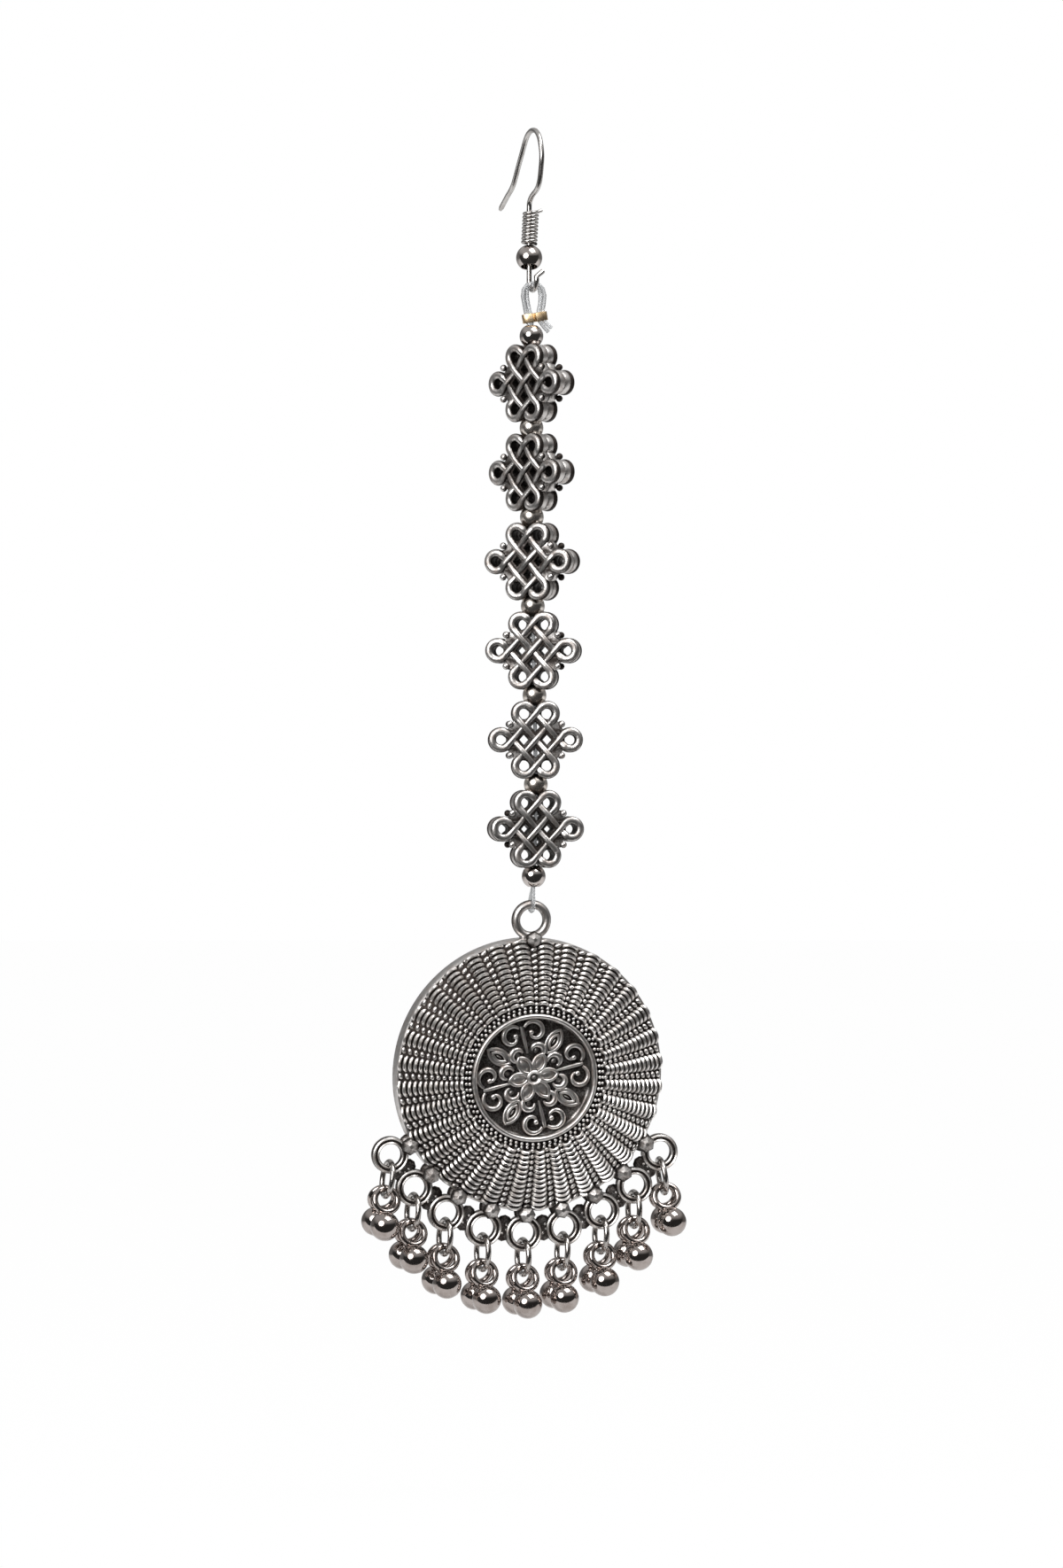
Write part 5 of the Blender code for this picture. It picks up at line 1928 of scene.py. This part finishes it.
@dataclass
class Fringe:
    """The jump rings under the disc, each with two ball drops."""

    steel: Material
    polish: Material
    row: RingRow
    jump_radius: float = 0.002175
    jump_wire: float = 0.00065
    jump_plump: float = 1.10
    turn_share: float = 0.66
    eye_radius: float = 0.0015
    eye_wire: float = 0.0008
    ball_radius: float = 0.00184
    ball_reach: float = 0.00335
    collar: Pair = (0.00046, 0.00017)
    collar_drop: float = 0.00034
    link_gap: float = 0.0002
    swings: tuple[tuple[str, float], ...] = (
        ("front", math.radians(17.0)),
        ("back", math.radians(-24.0)),
    )
    # Each jump ring's turn about the vertical and its lean sideways, in degrees
    poses: tuple[Pair, ...] = (
        (26, -8),
        (30, -4),
        (30, -3),
        (31, -1),
        (30, 0),
        (27, -3),
        (30, -1),
        (29, 0),
        (16, 9),
    )

    def drop(self) -> Assembly:
        """Build a ball drop: its eye ring, its collar and its ball."""
        shape = Assembly()
        shape.add(hoop(self.eye_radius, (self.eye_wire, self.eye_wire), 44, 12))
        shape.add(ball(self.ball_radius, 36, 22), lift(-self.ball_reach))
        collar = lathe(circle((self.collar[0], 0.0), self.collar[1], 10), 24)
        shape.add(collar, lift(-self.eye_radius - self.collar_drop))
        return shape

    def build(self, pose: Matrix) -> None:
        """Build and dress the jump rings and the drops.

        Args:
            pose: The disc's place in space.
        """
        bar = self.jump_wire * self.jump_plump
        jump = to_mesh(hoop(self.jump_radius, (bar, bar), 56, 12), "jump")
        drop = to_mesh(self.drop().bm, "drop")
        hole_drop = self.row.hole - self.jump_wire / 2 - self.link_gap
        eye_drop = self.jump_radius + self.eye_radius - self.eye_wire / 2
        eye_drop -= self.jump_wire / 2 + self.link_gap
        for number, angle in enumerate(self.row.angles()):
            hole = (pose @ on_disc(self.row.circle, angle)).translation
            turn, lean = [math.radians(value) for value in self.poses[number]]
            hang = Matrix.Translation(hole - Vector((0.0, 0.0, hole_drop)))
            hang = hang @ Matrix.Rotation(-lean, 4, "Y")
            hang = hang @ Matrix.Rotation(turn * self.turn_share, 4, "Z")
            ring_pose = hang @ lift(-self.jump_radius)
            ring = Assembly()
            ring.add(jump, ring_pose @ Matrix.Rotation(math.pi / 2, 4, "Z"))
            name = f"jump_ring_{number + 1}"
            publish(ring, f"steel_{name}", self.steel, Body.PENDANT, Slot.STEEL, name)
            for side, swing in self.swings:
                name = f"drop_{side}_{number + 1}"
                place = ring_pose @ Matrix.Rotation(-swing, 4, "X")
                copy = Assembly()
                copy.add(drop, place @ lift(-eye_drop))
                publish(copy, f"ball_{name}", self.polish, Body.PENDANT, Slot.BEAD, name)


class LampShape(str, Enum):
    """The outline of an area lamp."""

    DISK = "DISK"
    SQUARE = "SQUARE"


@dataclass(frozen=True)
class Softbox:
    """An area lamp: its place, its width in metres and its power in watts."""

    name: str
    place: Triple
    size: float
    power: float
    shape: LampShape

    def hang(self, target: Vector) -> None:
        """Hang the lamp so that it faces a target."""
        data = bpy.data.lights.new(self.name, "AREA")
        data.shape = self.shape.value
        data.size = self.size
        data.energy = self.power
        holder = add_object(self.name, data)
        holder.location = self.place
        aim = target - Vector(self.place)
        holder.rotation_euler = aim.to_track_quat("-Z", "Y").to_euler()


@dataclass
class Studio:
    """The camera, the lamps, the surroundings and the pale floor."""

    aim: Pair = (-0.00017, -0.0817)
    distance: float = 1.1
    sensor: float = 36.0
    frame_height: float = 0.1967
    floor_height: float = -0.172
    floor_size: float = 4.0
    floor_front: float = -0.035
    lamp_aim: float = -0.11
    lamps: tuple[Softbox, ...] = (
        Softbox("left_softbox", (-0.38, -0.64, 0.21), 0.60, 5.8, LampShape.DISK),
        Softbox("top_softbox", (0.26, -0.20, 0.58), 0.42, 4.6, LampShape.SQUARE),
    )
    # Where a region of the room begins and is full, and its brightness at both
    around: tuple[Pair, Pair] = ((-0.15, 0.40), (0.04, 0.20))
    behind: tuple[Pair, Pair] = ((0.90, 0.99), (0.0, 0.60))
    above: tuple[Pair, Pair] = ((0.15, 0.70), (0.0, 0.55))

    def camera(self) -> None:
        """Stand the camera level before the jewel."""
        data = bpy.data.cameras.new("camera")
        data.sensor_fit = "VERTICAL"
        data.sensor_height = self.sensor
        data.lens = self.sensor * self.distance / self.frame_height
        data.clip_start = 0.01
        holder = add_object("camera", data)
        holder.location = (self.aim[0], -self.distance, self.aim[1])
        holder.rotation_euler = (math.pi / 2, 0.0, 0.0)
        bpy.context.scene.camera = holder

    def surroundings(self) -> None:
        """Set the white backdrop and the dark studio that the metal reflects."""
        world = bpy.data.worlds.new("studio")
        world.use_nodes = True
        tree = world.node_tree
        tree.nodes.clear()
        output = tree.nodes.new("ShaderNodeOutputWorld")
        place = tree.nodes.new("ShaderNodeTexCoord")
        split = tree.nodes.new("ShaderNodeSeparateXYZ")
        feed(tree, split.inputs[0], place.outputs["Generated"])
        around = add_range(tree, split.outputs["Y"], *self.around)
        behind = add_range(tree, split.outputs["Y"], *self.behind)
        above = add_range(tree, split.outputs["Z"], *self.above)
        tone = add_math(tree, "MAXIMUM", add_math(tree, "MAXIMUM", behind, above), around)
        room, white = [tree.nodes.new("ShaderNodeBackground") for _ in range(2)]
        feed(tree, room.inputs["Color"], tone)
        feed(tree, white.inputs["Color"], (1.0, 1.0, 1.0))
        ray = tree.nodes.new("ShaderNodeLightPath").outputs["Is Camera Ray"]
        feed(tree, output.inputs["Surface"], mix_shaders(tree, ray, room, white))
        bpy.context.scene.world = world

    def floor(self) -> None:
        """Lay the pale floor under the jewel."""
        bm = bmesh.new()
        bmesh.ops.create_grid(bm, x_segments=4, y_segments=4, size=self.floor_size / 2)
        centre = (0.0, self.floor_size / 2 + self.floor_front, self.floor_height)
        bmesh.ops.translate(bm, vec=centre, verts=bm.verts)
        floor = add_object("studio_floor", to_mesh(bm, "studio_floor"))
        floor.data.materials.append(StudioWhite().build())
        floor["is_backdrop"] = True

    def build(self) -> None:
        """Set up the studio."""
        view = bpy.context.scene.view_settings
        view.view_transform = "Standard"
        view.look = "None"
        self.camera()
        self.surroundings()
        self.floor()
        for lamp in self.lamps:
            lamp.hang(Vector((self.aim[0], 0.0, self.lamp_aim)))


def write_sizes(before: object, after: object) -> None:
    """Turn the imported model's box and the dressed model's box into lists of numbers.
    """
    boxes = [[list(map(float, corner)) for corner in box] for box in (before, after)]


def main() -> None:
    """Load the frame, build every sub-assembly in order and gather the boxes before and after."""
    logging.basicConfig(level=logging.INFO, format="%(message)s")
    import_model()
    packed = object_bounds()
    silver, bead = SILVER.build(), BEAD_METAL.build()
    EarWire(WIRE_STEEL.build(), bead).build()
    NylonThread(ClearNylon().build(), CRIMP_BRASS.build()).build()
    BeadString(silver, bead, PALE_PAINTED_LIGHT_METAL.build()).build()
    pose = pendant_pose()
    Disc(silver, RIB_SILVER_PAINTED_LIGHT.build()).build(pose)
    row = RingRow(silver)
    row.build(pose)
    Fringe(RING_STEEL.build(), DROP_METAL.build(), row).build(pose)
    Studio().build()
    write_sizes(packed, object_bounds())


if __name__ == "__main__":
    main()
